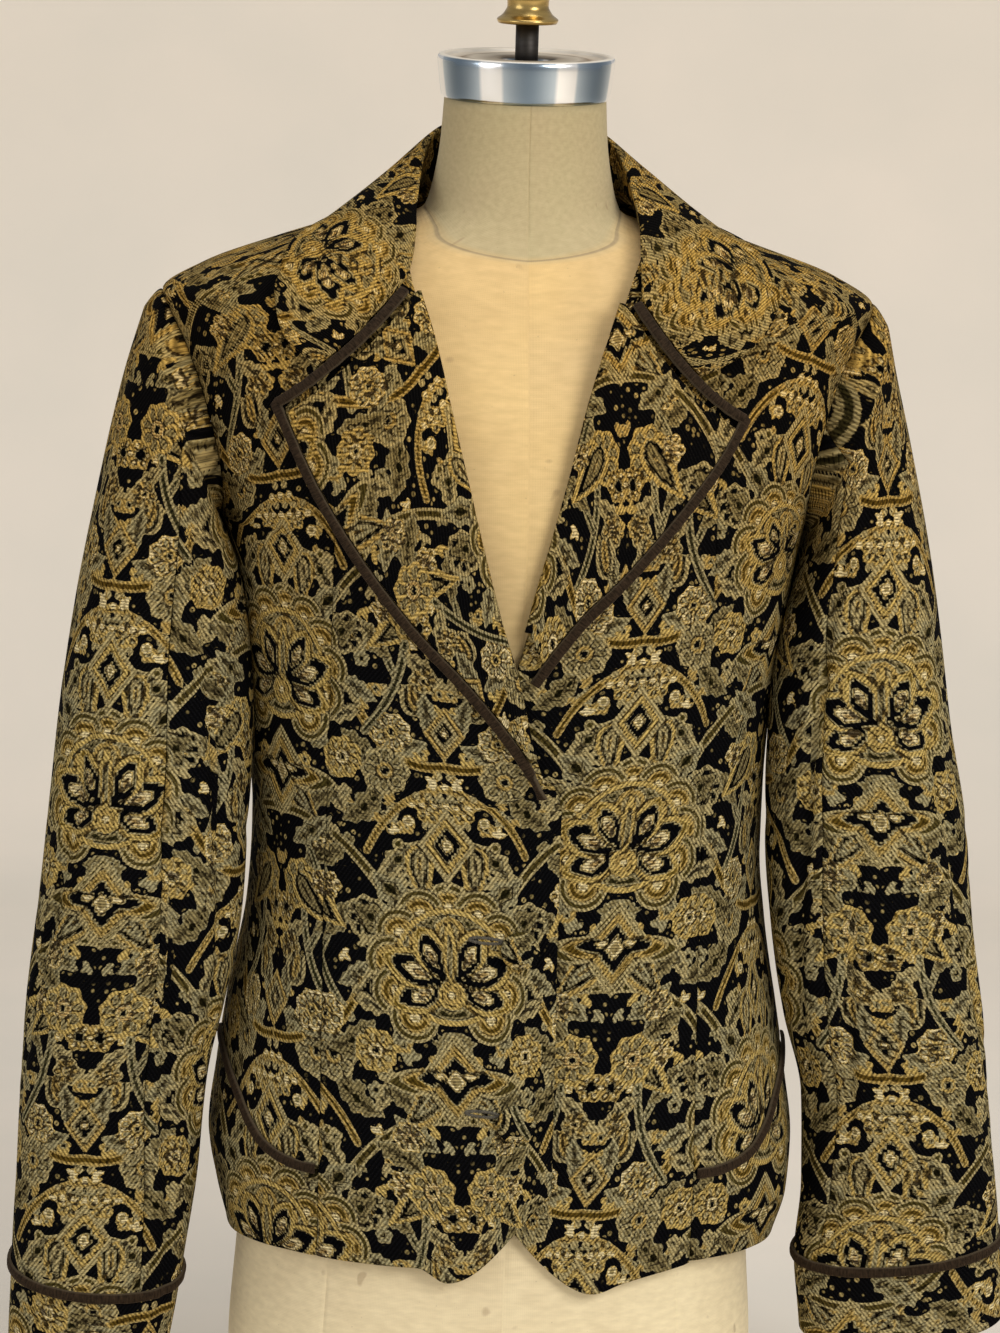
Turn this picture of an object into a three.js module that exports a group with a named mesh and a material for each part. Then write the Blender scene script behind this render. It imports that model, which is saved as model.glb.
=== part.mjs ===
// Tapestry blazer with velvet edges, worn by a limbless dress form.
// Millimetres, +Z up, the front faces -Y, the form's flat underside lies on z = 0.
// The wearer's right side is at -X and the wearer's left side at +X.
import * as THREE from 'three';

// Driving sizes
const WALL = 2;                  // thickness of the tapestry with its lining
const SEAM = 0.4;                // space between two pieces at a seam
const SEAM_HALF = SEAM / 2;
const SEAM_TURN = 0.08;          // the same half space in degrees round the body
const ARMHOLE_GAP = 0.6;
const ROUND = 0.9;               // 1 gives elliptical rings, less gives squarer ones
const SHOULDER_TIP = 672;        // height of the top of the armhole
const UNDERARM = 548;            // height of the bottom of the armhole
const ARMHOLE_FRONT = 22;        // degrees the armhole cuts into the front
const ARMHOLE_BACK = 23;         // degrees the armhole cuts into the back
const ARMHOLE_STEPS = 10;        // rows of the half armhole loop
const NECK_TOP = 722;            // height where the front and back reach the neck
const OVERLAP_INSET = 3.8;       // how far the under front lies behind the upper one
const PRINCESS = 106;            // distance of the long front seams from the centre
const TRIM_WIDTH = 6;            // velvet piping
const TRIM_HEIGHT = 2.2;
const FOLD_RADIUS = 3;           // roll of the lapels along their fold
const ROLL_TURN = 105;           // degrees of the roll that the lapel covers
const COLLAR_FOLD = 0.3;         // share of the collar's width up to its fold
const COLLAR_GAP = 3.6;
const COLLAR_TURN = 0.8;         // the collar bends to the gorge from here to its end
const BUTTON_RADIUS = 11;
const BUTTON_DEPTH = 7;
const BUTTON_OWN = -3;           // the buttons sit just past the centre of the upper front
const BUTTON_SEAT = 0.7;
const BUTTONS = [['button_upper', 321], ['button_lower', 224]];

// Half widths and depths of the jacket's body: the outside of the cloth
const BODY = table(['z', 'right', 'left', 'front', 'back'], [
  [50, 151, 158, 124, 128],
  [128, 153, 161, 126, 130],
  [160, 160, 169, 127, 131],
  [190, 165, 171, 127, 130],
  [225, 162, 167, 125, 126],
  [270, 156, 159, 121, 117],
  [322, 146, 150, 115, 104],
  [360, 144, 147, 113, 98],
  [434, 149, 149, 121, 101],
  [499, 157, 157, 133, 108],
  [548, 166, 165, 136, 112],
  [610, 187, 182, 128, 115],
  [650, 197, 193, 111, 110],
  [672, 201, 200, 99, 103],
  [686, 181, 181, 89, 97],
  [701, 141, 141, 77, 88],
  [712, 107, 107, 67, 78],
  [726, 64, 64, 56, 60],
  [740, 50, 50, 48, 50]]);

// Half widths and depths of the dress form, from its flat underside to the top of its neck
const FORM = table(['z', 'half', 'front', 'back'], [
  [0, 149, 115, 118],
  [64, 151, 117, 120],
  [134, 147, 117, 121],
  [190, 146, 117, 121],
  [225, 145, 116, 117],
  [270, 141, 113, 108],
  [322, 133, 107, 95],
  [360, 129, 104, 89],
  [434, 134, 112, 92],
  [499, 143, 124, 98],
  [548, 149, 127, 102],
  [610, 154, 116, 104],
  [640, 162, 101, 98],
  [664, 176, 85, 90],
  [682, 170, 76, 84],
  [698, 139, 66, 80],
  [709, 105, 58, 71],
  [723, 62, 52, 55],
  [735, 50, 48.5, 50],
  [760, 47, 46, 47],
  [784, 45.5, 45.5, 45.5]]);
const FORM_ROWS = [0, 64, 134, 190, 250, 310, 360, 420, 480, 530, 570, 610, 645, 664, 674, 682, 690, 698,
  704, 709, 716, 723, 729, 740, 784];

// Distance of the front edge and the fold from the centre, on each side's own front
const FOLD = table(['z', 'right', 'left'], [
  [120, -24, -26],
  [378, -24, -26],
  [408, -16, -20],
  [444, -5, -14],
  [477, 3, -7],
  [508, 13, 0],
  [544, 23, 9],
  [582, 33, 19],
  [625, 44, 30],
  [662, 53, 42],
  [692, 62, 53],
  [710, 65, 61],
  [726, 65, 65]]);

// Hem of the centre fronts by the distance from the centre, pointed beside the middle
const HEM = {
  right: table(['x', 'z'], [[-26, 186], [33, 131], [50, 139], [106, 139]]),
  left: table(['x', 'z'], [[-28, 196], [50, 125], [66, 130], [106, 138]]),
};
const HEM_POINT = { right: 33, left: 50 };
const HEM_SIDE = 136;
const HEM_BACK = 130;
const HIP_STEPS = 4;
const BODY_ROWS = 7;

// Upper edge of the hip pieces by the angle round the body from the front
const POCKET_FRONT = 191;
const POCKET_SIDE = 248;
const POCKET = table(['turn', 'z'], [[34, POCKET_FRONT], [41, POCKET_FRONT], [47, 193], [53, 198],
  [59, 208], [65, 221], [71, 231], [78, 240], [90, POCKET_SIDE]]);

// Lapel edge as distance from the centre and height, from the tip down to the break
const LAPEL_EDGE = {
  right: table(['s', 'x', 'z'], [[0, -11, 404], [0.1, -3, 420], [0.2, 14, 444], [0.36, 38, 472],
    [0.52, 67, 502], [0.7, 96, 539], [0.84, 120, 576], [1, 142, 621]]),
  left: table(['s', 'x', 'z'], [[0, 7, 470], [0.15, 22, 492], [0.3, 36, 510], [0.5, 58, 533],
    [0.7, 82, 561], [0.88, 109, 596], [1, 122, 619]]),
};
const LAPEL_FOLD_HEIGHTS = { right: [410, 692], left: [492, 688] };
const LAPEL_START = { right: 0.075, left: 0.06 };
const GORGE_BOW = { right: 5, left: 9 };     // how far the gorge seam sags below a straight line

// Collar stations from the centre back to the gorge: neck seam, fold and outer edge
const COLLAR = table(['s', 'bx', 'by', 'bz', 'fx', 'fy', 'fz', 'ox', 'oy', 'oz'], [
  [0, 0, 60, 729, 0, 63, 767, 0, 92, 720],
  [0.25, 40, 46, 731, 38, 48, 765, 68, 80, 717],
  [0.45, 57, 14, 731, 53, 16, 755, 102, 20, 716],
  [0.62, 61, -20, 726, 59, -20, 738, 126, -33, 704],
  [0.8, 63, -56, 712, 62, -54, 719, 141, -72, 685],
  [0.88, 62, -70, 705, 61, -72, 709, 147, -88, 671],
  [0.9, 62, -72, 703, 61, -76, 706, 143, -92, 667],
  [1, 61, -84, 695, 60, -92, 693, 118, -106, 645]]);
const COLLAR_GORGE = { right: 0.66, left: 0.54 };   // share of the gorge that the collar meets
const COLLAR_RISE = 3;           // fullness of the collar between its fold and its edge

// Sleeve rings: height and distance from the centre on the outside and the inside
const SLEEVE = {
  right: table(['ring', 'outZ', 'outX', 'inZ', 'inX', 'mid', 'depth', 'drop'], [
    [1, 662, 211, 545, 166, -4, 67, 0],
    [2, 618, 224, 532, 158, -15, 64, 0],
    [3, 572, 234, 512, 151, -22, 61, 0],
    [4, 500, 247, 478, 147, -28, 57, 0],
    [5, 440, 255, 428, 145, -31, 54, 0],
    [6, 380, 260, 373, 147, -32, 52, 0],
    [7, 325, 265, 320, 150, -33, 50, 2],
    [8, 270, 271, 268, 159, -32, 47, 4],
    [9, 228, 273, 224, 168, -30, 45, 6],
    [10, 176, 275, 171, 172, -29, 42, 8],
    [11, 115, 277, 111, 179, -28, 40, 9],
    [12, 66, 278, 62, 187, -27, 39, 9]]),
  left: table(['ring', 'outZ', 'outX', 'inZ', 'inX', 'mid', 'depth', 'drop'], [
    [1, 662, 208, 545, 166, -3, 67, 0],
    [2, 622, 217, 532, 162, -6, 65, 0],
    [3, 572, 228, 512, 156, -16, 61, 0],
    [4, 505, 240.5, 478, 147, -28, 58, 0],
    [5, 440, 250, 428, 145, -31, 55, 0],
    [6, 380, 261, 373, 147, -32, 52, 0],
    [7, 325, 267, 320, 152, -33, 50, 2],
    [8, 270, 276, 268, 161, -32, 46, 4],
    [9, 226, 281, 220, 174, -30, 43, 6],
    [10, 180, 287, 170, 176, -29, 38, 7],
    [11, 137, 292, 125, 173, -28, 33, 8],
    [12, 91, 296, 80, 178, -27, 32, 8]]),
};
const CUFF_RING = 11;
const SLEEVE_END = 12;
const RING_GAP = 0.006;          // half the space at the cuff seam, in rings
const SLEEVE_ROUND = 0.94;
const SEAM_SHIFT = {              // degrees the front sleeve seam turns inward down the sleeve
  right: table(['ring', 'turn'], [[0, 0], [4, 3], [8, 14], [12, 34]]),
  left: table(['ring', 'turn'], [[0, 0], [2.5, 26], [6, 30], [12, 60]]),
};
const SLEEVE_CLEAR = 1.2;        // least distance of the sleeves from the body's side
const SLEEVE_EASE = 6;
const LOOP_STEP = 180 / ARMHOLE_STEPS;
const FRONT_SEAM = 90;           // place of the front sleeve seam at the armhole
const TOP_SLEEVE_STEPS = 11;
const UNDER_SLEEVE_STEPS = 9;
const CUFF_STEPS = 20;
const SLEEVE_SEAM = 0.22;        // half the space at the sleeve seams in degrees
const SLEEVE_STEPS = [1, 0.02];
const LAPEL_STEPS = [0.02, 0.01];

// Largest folds of each sleeve: deepest ring, position round the sleeve, slope, depth, widths
const SLEEVE_FOLDS = table(['ring', 'turn', 'slope', 'depth', 'length', 'width'], [
  [2.6, 60, 0.006, 4, 0.9, 16],
  [4.2, 95, 0.01, 3.5, 1.2, 14],
  [5.6, 130, 0.012, 4.5, 0.6, 26],
  [6.5, 35, -0.01, 3.5, 0.5, 24],
  [7.4, 110, 0.012, 4, 0.5, 26],
  [6.2, 280, 0.008, 4, 0.7, 24],
  [8.6, 300, -0.01, 3.5, 0.6, 22],
  [3.4, 300, 0.006, 4, 1.0, 16]]);

// Soft hollows of the body: own side distance, height, depth and spreads
const BODY_FOLDS = table(['x', 'z', 'depth', 'wide', 'high'], [
  [134, 470, 2.5, 10, 55],
  [48, 372, 2, 26, 18],
  [130, 345, 2, 9, 26]]);

const COLOURS = {
  tapestry: ['#6e5f38', 0.9, 0],
  velvet: ['#2b1d14', 1, 0],
  linen: ['#cdb98f', 0.85, 0],
  steel: ['#c3c9cf', 0.25, 1],
  brass: ['#b08d4a', 0.3, 1],
  iron: ['#33302c', 0.5, 1],
};

// Tables: a row for each section, read between rows on a smooth curve
function table(columns, rows) {
  return { columns, rows };
}

function read(data, at) {
  const { columns, rows } = data;
  const last = rows.length - 1;
  const place = Math.min(Math.max(at, rows[0][0]), rows[last][0]);
  let i = 0;
  while (i < last - 1 && place > rows[i + 1][0]) i += 1;
  const span = rows[i + 1][0] - rows[i][0];
  const t = (place - rows[i][0]) / span;
  const result = {};
  columns.forEach((name, c) => {
    const slopeAt = (k) => {
      if (k <= 0 || k >= last) {
        const [low, high] = [rows[Math.max(k - 1, 0)], rows[Math.min(k + 1, last)]];
        return (high[c] - low[c]) / (high[0] - low[0]);
      }
      const before = (rows[k][c] - rows[k - 1][c]) / (rows[k][0] - rows[k - 1][0]);
      const after = (rows[k + 1][c] - rows[k][c]) / (rows[k + 1][0] - rows[k][0]);
      return before * after <= 0 ? 0 : (2 * before * after) / (before + after);
    };
    const a = rows[i][c];
    const b = rows[i + 1][c];
    const m0 = slopeAt(i) * span;
    const m1 = slopeAt(i + 1) * span;
    const t2 = t * t;
    const t3 = t2 * t;
    result[name] = (2 * t3 - 3 * t2 + 1) * a + (t3 - 2 * t2 + t) * m0
      + (3 * t2 - 2 * t3) * b + (t3 - t2) * m1;
  });
  return result;
}

const sleeveRings = [0, 0.35, 0.7, 1, 1.5, 2, 2.5, 3, 3.5, 4, 4.6, 5.2, 5.8, 6.4, 7, 7.6, 8.3, 9, 10,
  CUFF_RING - RING_GAP];

const radians = (degrees) => (degrees * Math.PI) / 180;
const mix = (a, b, t) => a + (b - a) * t;
const bump = (t) => Math.exp(-t * t);
const signedPower = (v, p) => Math.sign(v) * Math.abs(v) ** p;
const sideSign = (side) => (side === 'right' ? -1 : 1);
const spread = (from, to, steps) => Array.from({ length: steps + 1 }, (_, i) => mix(from, to, i / steps));

// Body surface: own side, turn in degrees from the centre front, height
function bodyPoint(side, turn, z, raise = 0) {
  const row = read(BODY, z);
  const across = Math.sin(radians(turn));
  const ahead = Math.cos(radians(turn));
  const wide = row[side] + raise;
  const deep = (ahead > 0 ? row.front : row.back) + raise;
  const own = wide * signedPower(across, ROUND);
  let y = -deep * signedPower(ahead, ROUND);
  if (ahead > 0) y += hollow(own, z);
  return new THREE.Vector3(sideSign(side) * own, y, z);
}

function turnAt(side, own, z) {
  const ratio = Math.min(Math.abs(own) / read(BODY, z)[side], 1);
  return (Math.asin(ratio ** (1 / ROUND)) * 180) / Math.PI * Math.sign(own);
}

// The centre lies on the other side's ring where a front laps past the middle
function frontPoint(side, own, z, raise = 0) {
  const ringSide = own < 0 ? (side === 'right' ? 'left' : 'right') : side;
  const turn = turnAt(ringSide, Math.abs(own), z);
  const point = bodyPoint(ringSide, turn, z);
  point.x = sideSign(side) * own;
  point.y -= raise;
  return point;
}

function hollow(own, z) {
  let depth = 0;
  for (const [x, height, deep, wide, high] of BODY_FOLDS.rows) {
    depth += deep * bump((own - x) / wide) * bump((z - height) / high);
  }
  return depth;
}

// Armhole: 0 is the shoulder tip, 180 the underarm, on the front between them
function armholeHeight(loop) {
  return UNDERARM + ((SHOULDER_TIP - UNDERARM) * (1 + Math.cos(radians(loop)))) / 2;
}

function armholeTurn(z, back) {
  if (z <= UNDERARM || z >= SHOULDER_TIP) return 90;
  const level = (2 * (z - UNDERARM)) / (SHOULDER_TIP - UNDERARM) - 1;
  const cut = Math.sqrt(1 - level * level);
  return back ? 90 + ARMHOLE_BACK * cut : 90 - ARMHOLE_FRONT * cut;
}

const armholeRows = spread(180, 0, ARMHOLE_STEPS).map(armholeHeight);
const hipRowsSide = spread(HEM_SIDE, POCKET_SIDE, HIP_STEPS).slice(0, -1);
const sideRows = [...hipRowsSide, ...spread(POCKET_SIDE, UNDERARM, BODY_ROWS).slice(0, -1)];
const centreRows = [HEM_SIDE, (HEM_SIDE + POCKET_FRONT) / 2,
  ...spread(POCKET_FRONT, UNDERARM, BODY_ROWS).slice(0, -1)];
const shoulderRows = [686, 699, 710.5];

// Closed wall on a surface: a grid of places, each moved in by the wall's thickness
function surfaceNormal(surface, [a, b], [stepA, stepB]) {
  const across = surface(a + stepA, b).sub(surface(a - stepA, b));
  const along = surface(a, b + stepB).sub(surface(a, b - stepB));
  return across.cross(along).normalize();
}

function closedGeometry(positions, triangles) {
  let volume = 0;
  const a = new THREE.Vector3();
  const b = new THREE.Vector3();
  const c = new THREE.Vector3();
  for (const [i, j, k] of triangles) {
    a.fromArray(positions, i * 3);
    b.fromArray(positions, j * 3);
    c.fromArray(positions, k * 3);
    volume += a.dot(b.cross(c));
  }
  const index = volume > 0 ? triangles.flat() : triangles.flatMap(([i, j, k]) => [i, k, j]);
  const geometry = new THREE.BufferGeometry();
  geometry.setAttribute('position', new THREE.Float32BufferAttribute(positions, 3));
  geometry.setIndex(index);
  geometry.computeVertexNormals();
  return geometry;
}

function wall(surface, places, steps, inward, ring = false) {
  const rows = places.length;
  const columns = places[0].length;
  const positions = [];
  const outside = places.map((line) => line.map(([a, b]) => surface(a, b)));
  outside.forEach((line) => line.forEach((p) => positions.push(p.x, p.y, p.z)));
  outside.forEach((line, i) => line.forEach((p, j) => {
    const normal = surfaceNormal(surface, places[i][j], steps);
    const q = p.clone().addScaledVector(normal, inward * WALL);
    positions.push(q.x, q.y, q.z);
  }));
  const inside = rows * columns;
  const at = (i, j) => i * columns + (j % columns);
  const triangles = [];
  const quad = (a, b, c, d) => triangles.push([a, b, c], [a, c, d]);
  const wide = ring ? columns : columns - 1;
  for (let i = 0; i < rows - 1; i += 1) {
    for (let j = 0; j < wide; j += 1) {
      quad(at(i, j), at(i, j + 1), at(i + 1, j + 1), at(i + 1, j));
      quad(inside + at(i, j), inside + at(i + 1, j), inside + at(i + 1, j + 1), inside + at(i, j + 1));
    }
  }
  for (let j = 0; j < wide; j += 1) {
    quad(at(0, j), inside + at(0, j), inside + at(0, j + 1), at(0, j + 1));
    quad(at(rows - 1, j), at(rows - 1, j + 1), inside + at(rows - 1, j + 1), inside + at(rows - 1, j));
  }
  if (!ring) {
    for (let i = 0; i < rows - 1; i += 1) {
      quad(at(i, 0), at(i + 1, 0), inside + at(i + 1, 0), inside + at(i, 0));
      quad(at(i, wide), inside + at(i, wide), inside + at(i + 1, wide), at(i + 1, wide));
    }
  }
  return closedGeometry(positions, triangles);
}

// Strip of velvet with a low rounded top, swept along points with their outward normals
function strip(points, normals, ring = false, width = TRIM_WIDTH, height = TRIM_HEIGHT) {
  const half = width / 2;
  const profile = [[-half, 0], [half, 0], [half, height * 0.5], [half * 0.5, height],
    [-half * 0.5, height], [-half, height * 0.5]];
  const count = points.length;
  const positions = [];
  points.forEach((point, i) => {
    const before = points[ring ? (i + count - 1) % count : Math.max(i - 1, 0)];
    const after = points[ring ? (i + 1) % count : Math.min(i + 1, count - 1)];
    const along = after.clone().sub(before).normalize();
    const beside = along.clone().cross(normals[i]).normalize();
    for (const [x, h] of profile) {
      const p = point.clone().addScaledVector(beside, x).addScaledVector(normals[i], h);
      positions.push(p.x, p.y, p.z);
    }
  });
  const sides = profile.length;
  const triangles = [];
  const steps = ring ? count : count - 1;
  for (let i = 0; i < steps; i += 1) {
    for (let k = 0; k < sides; k += 1) {
      const a = i * sides + k;
      const b = i * sides + ((k + 1) % sides);
      const c = ((i + 1) % count) * sides + ((k + 1) % sides);
      const d = ((i + 1) % count) * sides + k;
      triangles.push([a, b, c], [a, c, d]);
    }
  }
  if (!ring) {
    const end = (count - 1) * sides;
    for (let k = 1; k < sides - 1; k += 1) {
      triangles.push([0, k + 1, k], [end, end + k, end + k + 1]);
    }
  }
  return closedGeometry(positions, triangles);
}

// Solid of revolution between height rows of a ring function
function ringSolid(rows, columns, pointAt) {
  const positions = [];
  rows.forEach((z) => {
    for (let j = 0; j < columns; j += 1) {
      const p = pointAt((j / columns) * 360, z);
      positions.push(p.x, p.y, p.z);
    }
  });
  const bottom = positions.length / 3;
  positions.push(0, 0, rows[0], 0, 0, rows[rows.length - 1]);
  const triangles = [];
  for (let i = 0; i < rows.length - 1; i += 1) {
    for (let j = 0; j < columns; j += 1) {
      const next = (j + 1) % columns;
      triangles.push([i * columns + j, i * columns + next, (i + 1) * columns + next]);
      triangles.push([i * columns + j, (i + 1) * columns + next, (i + 1) * columns + j]);
    }
  }
  const top = (rows.length - 1) * columns;
  for (let j = 0; j < columns; j += 1) {
    const next = (j + 1) % columns;
    triangles.push([bottom, next, j], [bottom + 1, top + j, top + next]);
  }
  return closedGeometry(positions, triangles);
}

// Front pieces
const inwardSign = (side) => (side === 'right' ? 1 : -1);
const BODY_STEPS = [0.5, 1];
const FRONT_STEPS = [1, 1];

function hemShare(z) {
  return z < UNDERARM ? (UNDERARM - z) / (UNDERARM - HEM_SIDE) : 0;
}

// The under front lies deeper where the upper front laps over it
function underlap(side, own) {
  if (side === 'right') return 0;
  return OVERLAP_INSET * (1 - THREE.MathUtils.smoothstep(own, 28, 48));
}

function princessAt(side, z) {
  return Math.min(PRINCESS, read(BODY, z)[side] * 0.995);
}

function centreFront(side) {
  const surface = (own, z) => frontPoint(side, own, z, -underlap(side, own));
  const split = (HEM_POINT[side] + 24) / (PRINCESS + 24);
  const shares = [...spread(0, split, 4), ...spread(split, 1, 3).slice(1)];
  const places = [...centreRows, ...armholeRows, ...shoulderRows, 716, NECK_TOP].map((z) => {
    const edge = read(FOLD, z)[side] + (z > 400 ? FOLD_RADIUS + 0.6 : 0);
    const seam = z > 711 ? read(BODY, z)[side] * 0.99 : princessAt(side, z) - SEAM_HALF;
    return shares.map((u) => {
      const own = mix(edge, seam, u);
      return [own, z + hemShare(z) * (read(HEM[side], own).z - HEM_SIDE)];
    });
  });
  return wall(surface, places, FRONT_STEPS, inwardSign(side));
}

function sideTurn(side, u, z, sideEdge) {
  return mix(turnAt(side, princessAt(side, z) + SEAM_HALF, z), sideEdge, u);
}

function pocketHeight(side, u) {
  return read(POCKET, sideTurn(side, u, 205, 90)).z;
}

function hemAround(turn) {
  return mix(139, HEM_SIDE, THREE.MathUtils.smoothstep(turn, 40, 90));
}

const sideColumns = spread(0, 1, 7);

function sideFront(side) {
  const surface = (turn, z) => bodyPoint(side, turn, z);
  const low = spread(0, 1, BODY_ROWS).slice(0, -1).map((v) => sideColumns.map((u) => {
    const z = mix(pocketHeight(side, u) + SEAM, UNDERARM, v);
    return [sideTurn(side, u, z, 90 - SEAM_TURN), z];
  }));
  const high = [...armholeRows, ...shoulderRows].map((z) => sideColumns.map((u) => (
    [sideTurn(side, u, z, armholeTurn(z, false) - SEAM_TURN), z])));
  return wall(surface, [...low, ...high], BODY_STEPS, inwardSign(side));
}

function hipFront(side) {
  const surface = (turn, z) => bodyPoint(side, turn, z);
  const places = spread(0, 1, HIP_STEPS).map((v) => sideColumns.map((u) => {
    const z = mix(hemAround(sideTurn(side, u, 140, 90)), pocketHeight(side, u), v);
    return [sideTurn(side, u, z, 90 - SEAM_TURN), z];
  }));
  return wall(surface, places, BODY_STEPS, inwardSign(side));
}

function back(side) {
  const surface = (turn, z) => bodyPoint(side, turn, z);
  const rows = [...sideRows, ...armholeRows, ...shoulderRows, 716, NECK_TOP];
  const places = rows.map((z) => spread(0, 1, 9).map((u) => {
    const turn = mix(180 - SEAM_TURN, armholeTurn(z, true) + SEAM_TURN, u);
    const hem = mix(HEM_SIDE, HEM_BACK, THREE.MathUtils.smoothstep(turn, 90, 150));
    return [turn, z + hemShare(z) * (hem - HEM_SIDE)];
  }));
  return wall(surface, places, BODY_STEPS, inwardSign(side));
}

// Sleeve surface: ring 0 is the armhole, CUFF_RING the cuff seam, SLEEVE_END its hem
function armholePoint(side, loop) {
  const z = armholeHeight(loop);
  const turned = ((loop % 360) + 360) % 360;
  const point = bodyPoint(side, armholeTurn(z, turned > 180), z);
  point.x += sideSign(side) * ARMHOLE_GAP;
  return point;
}

function sleeveRing(side, ring, loop) {
  const row = read(SLEEVE[side], ring);
  const out = Math.cos(radians(loop));
  const ahead = Math.sin(radians(loop));
  const own = mix(row.inX, row.outX, (1 + signedPower(out, SLEEVE_ROUND)) / 2);
  const y = row.mid - row.depth * signedPower(ahead, SLEEVE_ROUND);
  const z = mix(row.inZ, row.outZ, (1 + out) / 2) - row.drop * ahead;
  return new THREE.Vector3(sideSign(side) * own, y, z);
}

function sleeveFold(ring, loop) {
  let depth = 0;
  for (const [at, around, slope, deep, length, width] of SLEEVE_FOLDS.rows) {
    const apart = ((loop - around + 540) % 360) - 180;
    const along = ring - at - slope * apart * 10;
    depth += deep * bump(along / length) * bump(apart / width);
  }
  return depth;
}

// The inside of a sleeve lies along the body's side, just clear of it
function besideBody(side, point) {
  const row = read(BODY, point.z);
  const deep = point.y < 0 ? row.front : row.back;
  const ahead = Math.min(Math.abs(point.y) / deep, 1) ** (1 / ROUND);
  const edge = row[side] * Math.sqrt(1 - ahead * ahead) ** ROUND + SLEEVE_CLEAR;
  const own = point.x * sideSign(side);
  const apart = THREE.MathUtils.clamp(own - edge, -SLEEVE_EASE, SLEEVE_EASE);
  const push = Math.max(edge - own, 0) + (SLEEVE_EASE - Math.abs(apart)) ** 2 / (4 * SLEEVE_EASE);
  point.x += sideSign(side) * push * (1 - THREE.MathUtils.smoothstep(point.z, UNDERARM - 12, UNDERARM + 8));
  return point;
}

function sleevePoint(side, ring, loop) {
  if (ring >= 1) {
    const point = sleeveRing(side, ring, loop);
    const middle = sleeveRing(side, ring, 0).add(sleeveRing(side, ring, 180)).multiplyScalar(0.5);
    const inward = middle.sub(point).setZ(0).normalize();
    return besideBody(side, point.addScaledVector(inward, sleeveFold(ring, loop)));
  }
  // Between the armhole and the first ring the cloth swells over the cap
  const start = armholePoint(side, loop);
  const end = sleevePoint(side, 1, loop);
  const slope = sleevePoint(side, 1.5, loop).sub(end).multiplyScalar(0.8);
  const t = Math.max(ring, -0.05);
  return start.multiplyScalar(1 - t * t).addScaledVector(end, t * t)
    .addScaledVector(slope, t * t * (t - 1));
}

function seamShift(side, ring, loop) {
  return read(SEAM_SHIFT[side], ring).turn * Math.cos(radians((loop - 90) / 2)) ** 4;
}

function sleevePiece(side, from, to, steps) {
  const surface = (loop, ring) => sleevePoint(side, ring, loop);
  const places = sleeveRings.map((ring) => spread(from, to, steps).map((loop) => (
    [loop + seamShift(side, ring, loop), ring])));
  return wall(surface, places, SLEEVE_STEPS, inwardSign(side));
}

function cuffLoops(side) {
  return spread(0, 360, CUFF_STEPS).slice(0, -1).map((loop) => loop + seamShift(side, CUFF_RING, loop));
}

function cuff(side) {
  const surface = (loop, ring) => sleevePoint(side, ring, loop);
  const places = spread(CUFF_RING + RING_GAP, SLEEVE_END, 2)
    .map((ring) => cuffLoops(side).map((loop) => [loop, ring]));
  return wall(surface, places, SLEEVE_STEPS, inwardSign(side), true);
}

function cuffTrim(side) {
  const surface = (loop, ring) => sleevePoint(side, ring, loop);
  const loops = cuffLoops(side);
  const normals = loops.map((loop) => surfaceNormal(surface, [loop, CUFF_RING], SLEEVE_STEPS)
    .multiplyScalar(-inwardSign(side)));
  const points = loops.map((loop, i) => surface(loop, CUFF_RING).addScaledVector(normals[i], SEAM + 0.3));
  return strip(points, normals, true);
}

// Lapel: s runs up the fold from the break to the gorge, q from the fold to the edge
function lapelFold(side, s) {
  const [low, high] = LAPEL_FOLD_HEIGHTS[side];
  const z = mix(low, high, s);
  return { own: read(FOLD, z)[side], z };
}

function lapelRaise(q) {
  return 3.8 + 2.4 * Math.sin(Math.PI * Math.min(q * 1.4 + 0.2, 1));
}

function laidOnFront(side, own, z, raise) {
  const slant = 1 + 0.6 * (own / 130) ** 2;
  return frontPoint(side, own, z, raise * slant - underlap(side, own));
}

function lapelPlace(side, s, q) {
  const fold = lapelFold(side, s);
  const edge = read(LAPEL_EDGE[side], s);
  const sag = GORGE_BOW[side] * 4 * q * (1 - q) * Math.max(s, 0) ** 3;
  return [mix(fold.own + FOLD_RADIUS, edge.x, q), mix(fold.z, edge.z, q) - sag];
}

// q below 0 runs round the roll of the fold
function lapelPoint(side, q, s) {
  if (q >= 0) {
    const [own, z] = lapelPlace(side, s, q);
    return laidOnFront(side, own, z, lapelRaise(q));
  }
  const arc = radians(90 - q * ROLL_TURN);
  const [own, z] = lapelPlace(side, s, 0);
  const raise = lapelRaise(0) - FOLD_RADIUS * (1 - Math.sin(arc));
  return laidOnFront(side, own + FOLD_RADIUS * Math.cos(arc), z, raise);
}

// Share of the lapel's width at a distance inside its edge, square to the edge
function insideEdge(side, s, distance) {
  const [foldOwn, foldZ] = lapelPlace(side, s, 0);
  const [edgeOwn, edgeZ] = lapelPlace(side, s, 1);
  const [nextOwn, nextZ] = lapelPlace(side, s + 0.01, 1);
  const edge = new THREE.Vector2(nextOwn - edgeOwn, nextZ - edgeZ).normalize();
  const square = Math.abs(edge.cross(new THREE.Vector2(edgeOwn - foldOwn, edgeZ - foldZ)));
  return 1 - Math.min(distance / square, 0.9);
}

function lapel(side) {
  const surface = (q, s) => lapelPoint(side, q, s);
  const [low, high] = LAPEL_FOLD_HEIGHTS[side];
  const top = 1 - (TRIM_WIDTH + SEAM) / (high - low);
  const places = spread(LAPEL_START[side], top, 13).map((s) => {
    const end = insideEdge(side, s, TRIM_WIDTH + 2 * SEAM);
    return [-1, -0.6, -0.25, ...spread(0, end, 4)].map((q) => [q, s]);
  });
  return wall(surface, places, LAPEL_STEPS, inwardSign(side));
}

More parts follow.
